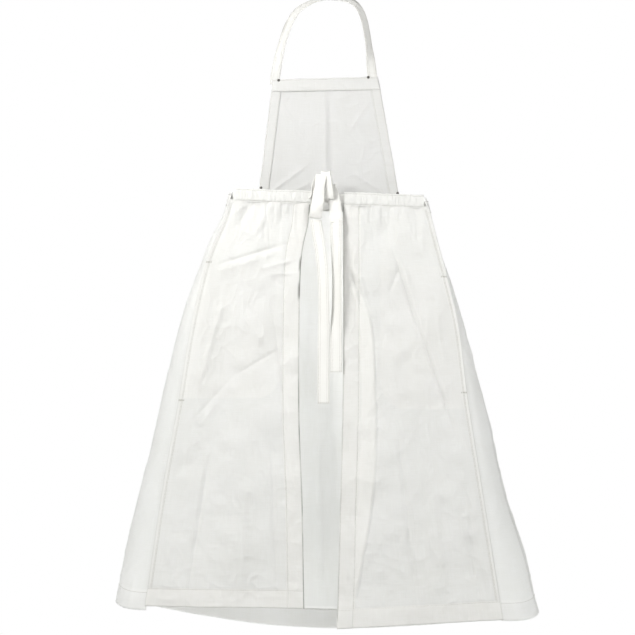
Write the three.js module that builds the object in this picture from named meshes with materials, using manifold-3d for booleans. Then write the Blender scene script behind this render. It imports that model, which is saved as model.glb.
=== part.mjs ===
// A full-length bib apron that wraps round the body and ties at the back of the waist.
// It hangs upright from the crown of its neck loop. Units are millimetres, +Z is up,
// the wearer's front faces +Y and the tied back faces -Y. The origin is the point on the
// crown's underside where the loop rests on a hook.

import * as THREE from "three";
import { mergeVertices } from "three/addons/utils/BufferGeometryUtils.js";
import Module from "manifold-3d";

// ---------------------------------------------------------------- driving dimensions

// Cloth
const CLOTH = 1.4; // one panel of cloth
const FACING = 1.0; // a facing, band or tape sewn onto a panel
const GAP = 0.3; // clearance between pieces that lie on each other
const FOLD_ROOM = 2; // from a fold line to the panel edges on each side of it

// Neck loop
const STRAP_WIDTH = 20;
const STRAP_THICKNESS = 2;
const LOOP_HEIGHT = 158; // crown underside down to the fold at the bib's top edge
const LOOP_HALF_WIDTH = 96; // middle of the strap's foot
const CROWN_LEFT = -15; // ends of the flat stretch at the crown
const CROWN_RIGHT = 45;
const STRAP_FOOT_ROOM = 4; // from the fold up to the strap's foot

// Bib
const BIB_HEIGHT = 230;
const BIB_HALF_TOP = 106;
const BIB_HALF_BOTTOM = 141;
const TAPE_WIDTH = 20; // tapes along the bib's sides
const TAPE_SETBACK = 1.5; // from the bib's top and bottom edges to its tapes
const TOP_FACING_HEIGHT = 26;

// Rivets at the bib's four corners
const RIVET_RADIUS = 2.6;
const RIVET_POST_RADIUS = 1.2;
const RIVET_CAP_HEIGHT = 1.0;
const RIVET_WASHER = 0.8;
const RIVET_SIDES = 14;
const TOP_RIVET_INSET = 16; // from the bib's side edge
const BOTTOM_RIVET_INSET = 6;
const RIVET_DROP = 4.5; // from the bib's top edge, and up from its bottom edge

// Skirt
const CASING_RISE = 4; // the back casings stand this far above the waist fold
const SKIRT_LENGTH = 826; // casing top down to the hem at the sides
const HALF_WAIST = 197;
const HALF_HEM = 430;
const WAIST_SIDE_RADIUS = 22; // the front panel turns round each side on this radius
const HEM_SIDE_RADIUS = 75;
const HEM_FORWARD = 39; // the skirt hangs this much further forward at the hem
const FRONT_DIP = 58; // the front hem's middle hangs this much lower than its sides
const HEM_TILT = 9; // the front hem's right end hangs this much lower, and its left end higher
const BACK_DIP = { left: 3, right: 30 }; // each back panel's hem below the side hem
const OPENING_EDGE = { left: 55, right: 31 }; // back opening, from the middle
const SEAM_GAP = 1.2; // across each side seam, where the back panel turns
const BAND_HEIGHT = 26;
const BAND_SETBACK = 6; // from the front panel's top edge to its waistband
const FRONT_HEM_HEIGHT = 38;
const BACK_HEM_HEIGHT = 38;
const OPENING_FACING_WIDTH = 36;
const FACING_INSET = 1.5; // from a panel's edge to its facing

// Casings at the back of the waist
const CASING_HEIGHT = 26;
const CASING_DEPTH = 7;
const CASING_WALL = 1.2;
const CASING_END = 33; // inner end, from the middle
const CASING_CLEARANCE = 1.5; // to the side seam and to the panel below

// Waist ties, knot and tails
const TIE_WIDTH = 20;
const TIE_THICKNESS = 2;
const TIE_END = 3; // each tie's end behind the knot, from the middle
const TIE_SIDE_CLEARANCE = 3; // from the side seam to the tie's sewn end
const KNOT_X = -6;
const KNOT_SIZE = { x: 19, y: 12, z: 30 }; // half sizes
const KNOT_DROP = 11; // knot's middle below the middle of the ties
const BOW_HEIGHT = 30;
const BOW_DEPTH = 16;
const BOW_WIDTH = 22;
const BOW_WALL = 1.6;
const TAIL_WIDTH = 25;
const TAIL_THICKNESS = 2;
const TAIL_CLEARANCE = 2; // from the knot down to the tails

// Pockets, in the side seams
const MOUTH_TOP = 166; // below the casing top
const MOUTH_LENGTH = 226;
const MOUTH_GAPE = 12; // widest, where the front panel's edge turns away from the seam
const MOUTH_TAPER = 50;
const POCKET_TOP = 147; // below the casing top
const POCKET_DEPTH = 287;
const POCKET_INNER_EDGE = 95; // from the middle
const POCKET_BULGE = 14;
const POCKET_CLOTH = 1.2;
const POCKET_SEAM_CLEARANCE = 3;

// ---------------------------------------------------------------- heights and shape of the skirt

const NECK_FOLD_Z = -LOOP_HEIGHT;
const BIB_TOP_Z = NECK_FOLD_Z - FOLD_ROOM;
const BIB_BOTTOM_Z = BIB_TOP_Z - BIB_HEIGHT;
const WAIST_FOLD_Z = BIB_BOTTOM_Z - FOLD_ROOM;
const FRONT_TOP_Z = WAIST_FOLD_Z - FOLD_ROOM;
const CASING_TOP_Z = WAIST_FOLD_Z + CASING_RISE;
const SIDE_HEM_Z = CASING_TOP_Z - SKIRT_LENGTH;
const TIE_Z = CASING_TOP_Z - CASING_HEIGHT / 2;
const BACK_TOP_Z = CASING_TOP_Z - CASING_HEIGHT - CASING_CLEARANCE;
const SHEET_LIFT = CLOTH / 2 + GAP + FACING / 2; // from a panel's middle to its facing's middle

const mix = THREE.MathUtils.lerp;
const clamp = THREE.MathUtils.clamp;

// How far down the skirt a height lies: 0 at the casing top and 1 at the side hem.
const skirtShare = (z) => (CASING_TOP_Z - z) / SKIRT_LENGTH;
const halfWidth = (z) => mix(HALF_WAIST, HALF_HEM, skirtShare(z));
const sideRadius = (z) => mix(WAIST_SIDE_RADIUS, HEM_SIDE_RADIUS, skirtShare(z));
const middleY = (z) => mix(-WAIST_SIDE_RADIUS, HEM_FORWARD - WAIST_SIDE_RADIUS, skirtShare(z));
const seamX = (z) => halfWidth(z) - sideRadius(z);
const backY = (z) => middleY(z) - sideRadius(z);
const bibHalfWidth = (z) => mix(BIB_HALF_TOP, BIB_HALF_BOTTOM, (BIB_TOP_Z - z) / BIB_HEIGHT);

// How far the pocket's mouth holds the front panel's edge off the seam at a height.
function mouthGape(z) {
  const below = CASING_TOP_Z - MOUTH_TOP - z;
  const above = MOUTH_LENGTH - below;
  return MOUTH_GAPE * clamp(Math.min(below, above) / MOUTH_TAPER, 0, 1);
}

// The front panel's line at one height, from the left side seam (u = 0) round the left side,
// across the front and round the right side to the right seam (u = 1). A share of u at each
// end covers the half turn round that side.
const SIDE_SHARE = 0.3;

function wrapPoint(u, z) {
  const radius = sideRadius(z);
  const fromEnd = Math.min(u, 1 - u);
  const side = u < 0.5 ? -1 : 1;
  if (fromEnd >= SIDE_SHARE) {
    const across = (u - SIDE_SHARE) / (1 - 2 * SIDE_SHARE);
    return new THREE.Vector3(mix(-seamX(z), seamX(z), across), middleY(z) + radius, z);
  }
  const turn = mix(mouthGape(z) / radius, Math.PI, fromEnd / SIDE_SHARE);
  const x = side * (seamX(z) + radius * Math.sin(turn));
  return new THREE.Vector3(x, middleY(z) - radius * Math.cos(turn), z);
}

// The front hem: level behind the sides, then a shallow curve that is lowest in the middle.
function frontHemZ(u) {
  const at = wrapPoint(u, SIDE_HEM_Z);
  const sideZ = SIDE_HEM_Z - (HEM_TILT * at.x) / HALF_HEM;
  if (at.y < middleY(SIDE_HEM_Z)) return sideZ;
  return sideZ - FRONT_DIP * (1 - (at.x / HALF_HEM) ** 2);
}

// ---------------------------------------------------------------- making solids

// A sheet of cloth: a box whose width and height follow a surface of u and v, and whose
// thickness follows the surface's normal. v runs upwards, so the normal faces +Y where u
// runs along +X. lift moves the sheet along that normal.
function sheet(surface, thickness, lift, uSteps, vSteps) {
  const geometry = new THREE.BoxGeometry(1, 1, 1, uSteps, 1, vSteps);
  const corners = geometry.getAttribute("position");
  const reach = 1e-3;
  for (let i = 0; i < corners.count; i += 1) {
    const u = corners.getX(i) + 0.5;
    const v = corners.getZ(i) + 0.5;
    const across = surface(Math.min(u + reach, 1), v).sub(surface(Math.max(u - reach, 0), v));
    const up = surface(u, Math.min(v + reach, 1)).sub(surface(u, Math.max(v - reach, 0)));
    const normal = up.cross(across).normalize();
    const corner = surface(u, v).addScaledVector(normal, lift + corners.getY(i) * thickness);
    corners.setXYZ(i, corner.x, corner.y, corner.z);
  }
  geometry.computeVertexNormals();
  return geometry;
}

// A flat tape along a curve, whose width points along acrossAt(share of the length).
function tape(curve, width, thickness, steps, acrossAt) {
  const geometry = new THREE.BoxGeometry(1, 1, 1, 1, 1, steps);
  const corners = geometry.getAttribute("position");
  for (let i = 0; i < corners.count; i += 1) {
    const share = corners.getZ(i) + 0.5;
    const along = curve.getTangentAt(share);
    const across = acrossAt(share, along);
    const normal = new THREE.Vector3().crossVectors(along, across).normalize();
    const corner = curve.getPointAt(share);
    corner.addScaledVector(across, corners.getX(i) * width);
    corner.addScaledVector(normal, corners.getY(i) * thickness);
    corners.setXYZ(i, corner.x, corner.y, corner.z);
  }
  geometry.computeVertexNormals();
  return geometry;
}

// A four-sided piece between two heights, with straight edges at left(z) and right(z), on the
// plane y = depth(z).
function flatPiece(left, right, bottomZ, topZ, depth, thickness, lift) {
  const surface = (u, v) => {
    const z = mix(bottomZ, topZ, v);
    return new THREE.Vector3(mix(left(z), right(z), u), depth(z), z);
  };
  return sheet(surface, thickness, lift, 1, 1);
}

const wasm = await Module();
wasm.setup();

function toSolid(geometry) {
  const bare = geometry.clone();
  bare.deleteAttribute("normal");
  bare.deleteAttribute("uv");
  const merged = mergeVertices(bare, 1e-4);
  return new wasm.Manifold(
    new wasm.Mesh({
      numProp: 3,
      vertProperties: merged.getAttribute("position").array,
      triVerts: new Uint32Array(merged.getIndex().array),
    }),
  );
}

// The first geometry with the others cut out of it.
function cut(geometry, tools) {
  let solid = toSolid(geometry);
  for (const tool of tools) {
    solid = solid.subtract(toSolid(tool));
  }
  const mesh = solid.getMesh();
  const result = new THREE.BufferGeometry();
  result.setAttribute("position", new THREE.BufferAttribute(mesh.vertProperties, 3));
  result.setIndex(new THREE.BufferAttribute(mesh.triVerts, 1));
  result.computeVertexNormals();
  return result;
}

// ---------------------------------------------------------------- materials

const clothMaterial = () =>
  new THREE.MeshStandardMaterial({ color: 0xe9e9e6, roughness: 0.9, metalness: 0 });
const facingMaterial = () =>
  new THREE.MeshStandardMaterial({ color: 0xf1f1ee, roughness: 0.9, metalness: 0 });
const tapeMaterial = () =>
  new THREE.MeshStandardMaterial({ color: 0xf4f3ee, roughness: 0.85, metalness: 0 });
const rivetMaterial = () =>
  new THREE.MeshStandardMaterial({ color: 0x3a3a38, roughness: 0.4, metalness: 0.9 });

const apron = new THREE.Group();

function add(name, geometry, material) {
  const piece = new THREE.Mesh(geometry, material);
  piece.name = name;
  apron.add(piece);
  return piece;
}

const SIDES = [
  { name: "left", sign: -1 },
  { name: "right", sign: 1 },
];

// The same flat piece on either side of the middle: near and far are distances from it.
function sidePiece(side, near, far, bottomZ, topZ, depth, thickness, lift) {
  const inner = (z) => side.sign * near(z);
  const outer = (z) => side.sign * far(z);
  const [left, right] = side.sign < 0 ? [outer, inner] : [inner, outer];
  return flatPiece(left, right, bottomZ, topZ, depth, thickness, lift);
}

// ---------------------------------------------------------------- neck loop

// The strap rises flat from each bib corner, turns on edge and lies flat over the crown.
function addNeckStrap() {
  const footZ = NECK_FOLD_Z + STRAP_FOOT_ROOM;
  const crownZ = STRAP_THICKNESS / 2;
  const point = (x, z) => new THREE.Vector3(x, 0, z);
  const leftLeg = new THREE.CubicBezierCurve3(
    point(-LOOP_HALF_WIDTH, footZ),
    point(-0.86 * LOOP_HALF_WIDTH, 0.45 * footZ),
    point(-0.72 * LOOP_HALF_WIDTH, crownZ),
    point(CROWN_LEFT, crownZ),
  );
  const rightLeg = new THREE.CubicBezierCurve3(
    point(CROWN_RIGHT, crownZ),
    point(0.88 * LOOP_HALF_WIDTH, crownZ),
    point(0.92 * LOOP_HALF_WIDTH, 0.4 * footZ),
    point(LOOP_HALF_WIDTH, footZ),
  );
  const loop = new THREE.CurvePath();
  loop.add(leftLeg);
  loop.add(new THREE.LineCurve3(point(CROWN_LEFT, crownZ), point(CROWN_RIGHT, crownZ)));
  loop.add(rightLeg);

  const total = loop.getLength();
  const crownStart = leftLeg.getLength() / total;
  const crownEnd = 1 - rightLeg.getLength() / total;
  const acrossAt = (share, along) => {
    const risen = Math.min(share / crownStart, (1 - share) / (1 - crownEnd));
    const turn = (Math.PI / 2) * THREE.MathUtils.smoothstep(risen, 0.25, 0.9);
    const outward = new THREE.Vector3(0, 1, 0).cross(along).negate().normalize();
    const across = outward.multiplyScalar(Math.cos(turn));
    across.y += Math.sin(turn);
    return across.normalize();
  };
  const steps = 36;
  add("neck_strap", tape(loop, STRAP_WIDTH, STRAP_THICKNESS, steps, acrossAt), tapeMaterial());
}

// ---------------------------------------------------------------- bib and its rivets

const flatY = () => 0;
const BIB_BACK_LIFT = -SHEET_LIFT; // facings and tapes lie on the bib's back face
const TAPE_BACK_Y = BIB_BACK_LIFT - FACING / 2;

const RIVETS = SIDES.flatMap((side) => {
  const topZ = BIB_TOP_Z - RIVET_DROP;
  const bottomZ = BIB_BOTTOM_Z + RIVET_DROP + TAPE_SETBACK;
  return [
    { name: "bib_top_" + side.name, x: side.sign * (bibHalfWidth(topZ) - TOP_RIVET_INSET), z: topZ },
    {
      name: "bib_base_" + side.name,
      x: side.sign * (bibHalfWidth(bottomZ) - BOTTOM_RIVET_INSET),
      z: bottomZ,
    },
  ];
});

// Holes for the rivet posts, each a cylinder along Y through the whole stack.
function rivetHoles() {
  return RIVETS.map((rivet) => {
    const hole = new THREE.CylinderGeometry(
      RIVET_POST_RADIUS + GAP,
      RIVET_POST_RADIUS + GAP,
      10 * CLOTH,
      RIVET_SIDES,
    );
    return hole.translate(rivet.x, 0, rivet.z);
  });
}

function addBib() {
  const leftEdge = (z) => -bibHalfWidth(z);
  const panel = flatPiece(leftEdge, bibHalfWidth, BIB_BOTTOM_Z, BIB_TOP_Z, flatY, CLOTH, 0);
  add("bib_panel", cut(panel, rivetHoles()), clothMaterial());

  const tapeTop = BIB_TOP_Z - TAPE_SETBACK;
  const tapeBottom = BIB_BOTTOM_Z + TAPE_SETBACK;
  const tapeInner = (z) => bibHalfWidth(z) - TAPE_WIDTH;
  for (const side of SIDES) {
    const strip = sidePiece(
      side, tapeInner, bibHalfWidth, tapeBottom, tapeTop, flatY, FACING, BIB_BACK_LIFT,
    );
    add("bib_tape_" + side.name, cut(strip, rivetHoles()), tapeMaterial());
  }

  const facingRight = (z) => tapeInner(z) - GAP;
  const facingLeft = (z) => -facingRight(z);
  const facingBottom = tapeTop - TOP_FACING_HEIGHT;
  add(
    "bib_top_facing",
    flatPiece(facingLeft, facingRight, facingBottom, tapeTop, flatY, FACING, BIB_BACK_LIFT),
    facingMaterial(),
  );
}

// A domed cap with its post on the bib's back, and a flat washer on the front.
function addRivets() {
  const capY = TAPE_BACK_Y - GAP;
  const postEndY = CLOTH / 2;
  const washerY = CLOTH / 2 + GAP;
  const at = (radius, y) => new THREE.Vector2(radius, y);
  const cap = [
    at(0, capY - RIVET_CAP_HEIGHT),
    at(0.6 * RIVET_RADIUS, capY - 0.85 * RIVET_CAP_HEIGHT),
    at(0.92 * RIVET_RADIUS, capY - 0.45 * RIVET_CAP_HEIGHT),
    at(RIVET_RADIUS, capY),
    at(RIVET_POST_RADIUS, capY),
    at(RIVET_POST_RADIUS, postEndY),
    at(0, postEndY),
  ];
  const washer = [
    at(0, washerY),
    at(RIVET_RADIUS, washerY),
    at(0.9 * RIVET_RADIUS, washerY + RIVET_WASHER),
    at(0, washerY + RIVET_WASHER),
  ];
  for (const rivet of RIVETS) {
    const capShape = new THREE.LatheGeometry(cap, RIVET_SIDES).translate(rivet.x, 0, rivet.z);
    const washerShape = new THREE.LatheGeometry(washer, RIVET_SIDES).translate(rivet.x, 0, rivet.z);
    add("rivet_cap_" + rivet.name, capShape, rivetMaterial());
    add("rivet_washer_" + rivet.name, washerShape, rivetMaterial());
  }
}

// ---------------------------------------------------------------- front of the skirt

// A piece of the wrapped front between two hem-to-top lines, each a function of u.
function wrappedPiece(bottomAt, topAt, thickness, lift, uSteps, vSteps) {
  const surface = (u, v) => wrapPoint(u, mix(bottomAt(u), topAt(u), v));
  return sheet(surface, thickness, lift, uSteps, vSteps);
}

function addSkirtFront() {
  const around = 20;
  const level = (z) => () => z;
  const panelRows = 24;
  add(
    "front_skirt_panel",
    wrappedPiece(frontHemZ, level(FRONT_TOP_Z), CLOTH, 0, around, panelRows),
    clothMaterial(),
  );

  const bandTop = FRONT_TOP_Z - BAND_SETBACK;
  const bandBottom = bandTop - BAND_HEIGHT;
  const band = (lift) => wrappedPiece(level(bandBottom), level(bandTop), FACING, lift, around, 1);
  add("waistband_front", band(SHEET_LIFT), facingMaterial());
  add("waistband_lining", band(-SHEET_LIFT), facingMaterial());

  const facingBottom = (u) => frontHemZ(u) + FACING_INSET;
  const facingTop = (u) => frontHemZ(u) + FACING_INSET + FRONT_HEM_HEIGHT;
  add(
    "front_hem_facing",
    wrappedPiece(facingBottom, facingTop, FACING, -SHEET_LIFT, around, 1),
    facingMaterial(),
  );
}

// ---------------------------------------------------------------- pockets in the side seams

// Two layers of thin cloth sewn together round their edges behind the back panel. The layer
// nearer the wearer's front swells forward, and stays open at the mouth.
function addPockets() {
  const topZ = CASING_TOP_Z - POCKET_TOP;
  const bottomZ = topZ - POCKET_DEPTH;
  const outer = (z) => seamX(z) - POCKET_SEAM_CLEARANCE;
  const inner = () => POCKET_INNER_EDGE;
  const backLift = CLOTH / 2 + GAP + POCKET_CLOTH / 2;
  const frontLift = backLift + POCKET_CLOTH + GAP;
  for (const side of SIDES) {
    const swell = (u, v) => {
      const fromSeam = side.sign < 0 ? u : 1 - u;
      const open = 0.75 * clamp(mouthGape(mix(bottomZ, topZ, v)) / MOUTH_GAPE, 0, 1);
      const acrossShare = Math.sqrt(Math.sin((Math.PI / 2) * clamp(2 * (1 - fromSeam), 0, 1)));
      const nearSeam = mix(open, 1, Math.sqrt(clamp(3 * fromSeam, 0, 1)));
      const upShare = Math.sqrt(Math.sin(Math.PI * clamp(v, 0, 1)));
      return POCKET_BULGE * acrossShare * nearSeam * upShare;
    };
    const layer = (bulges) => (u, v) => {
      const z = mix(bottomZ, topZ, v);
      const [left, right] = side.sign < 0 ? [-outer(z), -inner(z)] : [inner(z), outer(z)];
      const y = backY(z) + (bulges ? frontLift + swell(u, v) : backLift);
      return new THREE.Vector3(mix(left, right, u), y, z);
    };
    const across = 8;
    const rows = 10;
    add(
      "pocket_bag_back_" + side.name,
      sheet(layer(false), POCKET_CLOTH, 0, 1, 1),
      clothMaterial(),
    );
    add(
      "pocket_bag_front_" + side.name,
      sheet(layer(true), POCKET_CLOTH, 0, across, rows),
      clothMaterial(),
    );
  }
}

// ---------------------------------------------------------------- casings, ties and knot

// A flat tube of folded cloth along X, from one distance from the middle to another.
function casing(side, near, far) {
  const height = CASING_HEIGHT / 2;
  const depth = CASING_DEPTH / 2;
  const section = new THREE.Shape();
  section.moveTo(-depth, -height + depth);
  section.quadraticCurveTo(-depth, -height, 0, -height);
  section.quadraticCurveTo(depth, -height, depth, -height + depth);
  section.lineTo(depth, height - depth);
  section.quadraticCurveTo(depth, height, 0, height);
  section.quadraticCurveTo(-depth, height, -depth, height - depth);
  section.closePath();
  const slotDepth = depth - CASING_WALL;
  const slotHeight = height - CASING_WALL - GAP;
  const slot = new THREE.Path();
  slot.moveTo(-slotDepth, -slotHeight);
  slot.lineTo(slotDepth, -slotHeight);
  slot.lineTo(slotDepth, slotHeight);
  slot.lineTo(-slotDepth, slotHeight);
  slot.closePath();
  section.holes.push(slot);
  const tube = new THREE.ExtrudeGeometry(section, {
    depth: far - near,
    bevelEnabled: false,
    curveSegments: 3,
  });
  const axes = new THREE.Matrix4().makeBasis(
    new THREE.Vector3(0, 1, 0),
    new THREE.Vector3(0, 0, 1),
    new THREE.Vector3(1, 0, 0),
  );
  tube.applyMatrix4(axes);
  return tube.translate(side.sign < 0 ? -far : near, backY(TIE_Z), TIE_Z);
}

function addCasingsAndTies() {
  const casingBottom = CASING_TOP_Z - CASING_HEIGHT;
  const casingFar = Math.min(seamX(CASING_TOP_Z), seamX(casingBottom)) - CASING_CLEARANCE;
  const tieFar = casingFar - TIE_SIDE_CLEARANCE;
  const slotHeight = CASING_HEIGHT - 2 * (CASING_WALL + GAP);
  const slotDepth = CASING_DEPTH - 2 * CASING_WALL;
  const tieWidth = Math.min(TIE_WIDTH, slotHeight - 2 * GAP);
  const tieThickness = Math.min(TIE_THICKNESS, slotDepth - 2 * GAP);
  for (const side of SIDES) {
    add("casing_" + side.name, casing(side, CASING_END, casingFar), facingMaterial());
    const tie = new THREE.BoxGeometry(tieFar - TIE_END, tieThickness, tieWidth);
    tie.translate((side.sign * (tieFar + TIE_END)) / 2, backY(TIE_Z), TIE_Z);
    add("waist_tie_" + side.name, tie, tapeMaterial());
  }
}

const KNOT_Y = backY(TIE_Z) - TIE_THICKNESS / 2 - GAP - KNOT_SIZE.y;
const KNOT_Z = TIE_Z - KNOT_DROP;
const TAIL_TOP_Z = KNOT_Z - KNOT_SIZE.z - TAIL_CLEARANCE;

// The knot is a rounded lump of folded tie, with one short bow loop standing on it.
function addKnot() {
  const knot = new THREE.SphereGeometry(1, 16, 12);
  knot.scale(KNOT_SIZE.x, KNOT_SIZE.y, KNOT_SIZE.z);
  add("tie_knot", knot.translate(KNOT_X, KNOT_Y, KNOT_Z), tapeMaterial());

  const loop = new THREE.Shape();
  loop.absellipse(0, 0, BOW_DEPTH / 2, BOW_HEIGHT / 2, 0, 2 * Math.PI);
  const hole = new THREE.Path();
  hole.absellipse(0, 0, BOW_DEPTH / 2 - BOW_WALL, BOW_HEIGHT / 2 - BOW_WALL, 0, 2 * Math.PI);
  loop.holes.push(hole);
  const bow = new THREE.ExtrudeGeometry(loop, {
    depth: BOW_WIDTH,
    bevelEnabled: false,
    curveSegments: 20,
  });
  const axes = new THREE.Matrix4().makeBasis(
    new THREE.Vector3(0, 1, 0),
    new THREE.Vector3(0, 0, 1),
    new THREE.Vector3(1, 0, 0),
  );
  bow.applyMatrix4(axes);
  const bowZ = KNOT_Z + KNOT_SIZE.z + GAP + BOW_HEIGHT / 2;
  bow.translate(KNOT_X - BOW_WIDTH / 2, KNOT_Y, bowZ);
  add("tie_bow_loop", bow, tapeMaterial());
}

// Each tail's middle line below the knot, as x, y and z from the middle of the knot's back
// plane and the tails' top.
const TAIL_ROUTES = {
  left: [
    [-20, 0, 0],
    [-18.5, -0.6, -22],
    [-16.6, -1.2, -46],
    [-15, -1.6, -71],
    [-14, -1.6, -97],
    [-13.6, -1.2, -123],
    [-13.6, -0.6, -149],
    [-13.9, 0, -175],
    [-14.3, 0.4, -201],
    [-14.6, 0.5, -227],
    [-14.6, 0.4, -253],
    [-14.3, 0, -280],
    [-13.9, -0.6, -307],
    [-13.6, -1.3, -336],
    [-13.5, -2, -366],
  ],
  right: [
    [19, 0, 0],
    [18.4, -0.5, -19],
    [17.6, -1, -39],
    [16.8, -1.3, -60],
    [16, -1.4, -81],
    [15.4, -1.2, -102],
    [15, -0.8, -123],
    [14.7, -0.3, -144],
    [14.6, 0.1, -166],
    [14.6, 0.4, -188],
    [14.8, 0.5, -210],
    [15, 0.3, -233],
    [15.2, -0.1, -256],
    [15.4, -0.7, -280],
    [15.6, -1.4, -304],
  ],
};

function addTails() {
  for (const side of SIDES) {
    const points = TAIL_ROUTES[side.name].map(
      ([x, y, z]) => new THREE.Vector3(x, KNOT_Y + y, TAIL_TOP_Z + z),
    );
    const route = new THREE.CatmullRomCurve3(points);
    const across = () => new THREE.Vector3(1, 0, 0);
    const steps = 14;
    const tail = tape(route, TAIL_WIDTH, TAIL_THICKNESS, steps, across);
    add("tie_tail_" + side.name, tail, tapeMaterial());
  }
}

// ---------------------------------------------------------------- back panels

function addBackPanels() {
  for (const side of SIDES) {
    const edge = OPENING_EDGE[side.name];
    const hemZ = SIDE_HEM_Z - BACK_DIP[side.name];
    const opening = () => edge;
    const seam = (z) => seamX(z) - SEAM_GAP;
    add(
      "back_panel_" + side.name,
      sidePiece(side, opening, seam, hemZ, BACK_TOP_Z, backY, CLOTH, 0),
      clothMaterial(),
    );

    const facingNear = () => edge + FACING_INSET;
    const facingFar = () => edge + FACING_INSET + OPENING_FACING_WIDTH;
    const hemTop = hemZ + FACING_INSET + BACK_HEM_HEIGHT;
    add(
      "opening_facing_" + side.name,
      sidePiece(side, facingNear, facingFar, hemTop + GAP, BACK_TOP_Z, backY, FACING, SHEET_LIFT),
      facingMaterial(),
    );
    const hemFar = (z) => seam(z) - FACING_INSET;
    add(
      "back_hem_facing_" + side.name,
      sidePiece(side, facingNear, hemFar, hemZ + FACING_INSET, hemTop, backY, FACING, SHEET_LIFT),
      facingMaterial(),
    );
  }
}

addNeckStrap();
addBib();
addRivets();
addSkirtFront();
addPockets();
addCasingsAndTies();
addKnot();
addTails();
addBackPanels();

export default apron;
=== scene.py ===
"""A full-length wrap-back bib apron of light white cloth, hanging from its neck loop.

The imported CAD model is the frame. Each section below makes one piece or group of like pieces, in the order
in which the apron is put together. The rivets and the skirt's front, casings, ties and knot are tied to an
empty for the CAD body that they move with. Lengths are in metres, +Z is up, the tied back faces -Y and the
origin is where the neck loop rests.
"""

import math

import bpy
import numpy as np
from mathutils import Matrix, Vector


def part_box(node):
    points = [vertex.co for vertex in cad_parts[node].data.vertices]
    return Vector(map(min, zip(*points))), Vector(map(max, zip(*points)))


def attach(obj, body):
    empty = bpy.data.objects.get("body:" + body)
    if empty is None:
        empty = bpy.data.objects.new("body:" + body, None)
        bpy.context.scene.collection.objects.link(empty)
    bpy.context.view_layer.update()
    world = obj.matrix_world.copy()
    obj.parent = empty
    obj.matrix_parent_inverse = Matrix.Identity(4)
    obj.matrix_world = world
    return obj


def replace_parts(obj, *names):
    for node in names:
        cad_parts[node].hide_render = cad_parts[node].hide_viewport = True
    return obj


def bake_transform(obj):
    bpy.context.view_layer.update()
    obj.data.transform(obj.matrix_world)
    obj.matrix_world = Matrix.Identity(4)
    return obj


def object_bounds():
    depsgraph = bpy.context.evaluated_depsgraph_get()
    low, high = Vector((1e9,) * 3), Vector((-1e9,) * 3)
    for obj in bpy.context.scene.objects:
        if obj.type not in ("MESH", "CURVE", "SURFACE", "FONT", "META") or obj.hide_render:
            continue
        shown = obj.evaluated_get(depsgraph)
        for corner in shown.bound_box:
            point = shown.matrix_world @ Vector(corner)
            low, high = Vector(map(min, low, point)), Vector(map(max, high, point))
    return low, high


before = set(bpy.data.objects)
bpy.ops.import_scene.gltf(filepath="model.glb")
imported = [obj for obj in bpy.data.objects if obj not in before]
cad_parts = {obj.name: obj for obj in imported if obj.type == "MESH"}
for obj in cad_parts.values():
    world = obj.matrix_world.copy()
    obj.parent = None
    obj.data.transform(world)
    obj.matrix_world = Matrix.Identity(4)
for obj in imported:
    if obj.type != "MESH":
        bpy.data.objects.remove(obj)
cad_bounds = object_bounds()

# ---------------------------------------------------------------- camera, light and floor
# The apron is seen square on from the tied back, from far enough away that its depth hardly shows.
# A white floor lies under it, and soft light comes from the viewer's upper left.

CAMERA_DISTANCE = 6.5
VIEW_HEIGHT = 1.27
SENSOR = 36.0
VIEW_CENTRE = (-0.019, -0.03, -0.639)

camera = bpy.data.objects.new("camera", bpy.data.cameras.new("camera"))
camera.data.sensor_width = SENSOR
camera.data.lens = SENSOR * CAMERA_DISTANCE / VIEW_HEIGHT
camera.data.clip_end = 60
camera.location = (VIEW_CENTRE[0], VIEW_CENTRE[1] - CAMERA_DISTANCE, VIEW_CENTRE[2])
camera.rotation_euler = (math.radians(90), 0, 0)
bpy.context.scene.collection.objects.link(camera)
bpy.context.scene.camera = camera
bpy.context.scene.view_settings.view_transform = "Standard"


class Wire:
    """A shader socket. Sums, differences and products of wires add Math nodes, each on the two sides of the
    sign in their own order, and node() adds any other node."""

    def __init__(self, tree, socket=None):
        self.tree = tree
        self.socket = socket

    def node(self, kind, settings=None, output=0, **values):
        """Adds a node of a type, sets its settings, then gives its inputs values or wires by name."""
        made = self.tree.nodes.new(kind)
        for name, value in (settings or {}).items():
            setattr(made, name, value)
        for name, value in values.items():
            key = int(name[1:]) if name[1:].isdigit() else name.replace("_", " ")
            if isinstance(value, Wire):
                self.tree.links.new(value.socket, made.inputs[key])
            else:
                made.inputs[key].default_value = value
        return Wire(self.tree, made.outputs[output] if len(made.outputs) else None)

    def maths(self, operation, first, second=0.0):
        """One Math node on two values or wires."""
        return self.node("ShaderNodeMath", {"operation": operation}, i0=first, i1=second)

    def __add__(self, other):
        return self.maths("ADD", self, other)

    def __sub__(self, other):
        return self.maths("SUBTRACT", self, other)

    def __rsub__(self, other):
        return self.maths("SUBTRACT", other, self)

    def __mul__(self, other):
        return self.maths("MULTIPLY", self, other)

    def sine(self):
        """The sine of the wire, which is an angle in radians."""
        return self.maths("SINE", self)

    __radd__ = __add__
    __rmul__ = __mul__


def new_material(name):
    """An empty node material and a wire to start its nodes from."""
    made = bpy.data.materials.new(name)
    made.use_nodes = True
    made.node_tree.nodes.clear()
    return made, Wire(made.node_tree)


def finish_material(made, shader):
    """Joins the last shader to the material's output."""
    shader.node("ShaderNodeOutputMaterial", Surface=shader)
    return made


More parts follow.
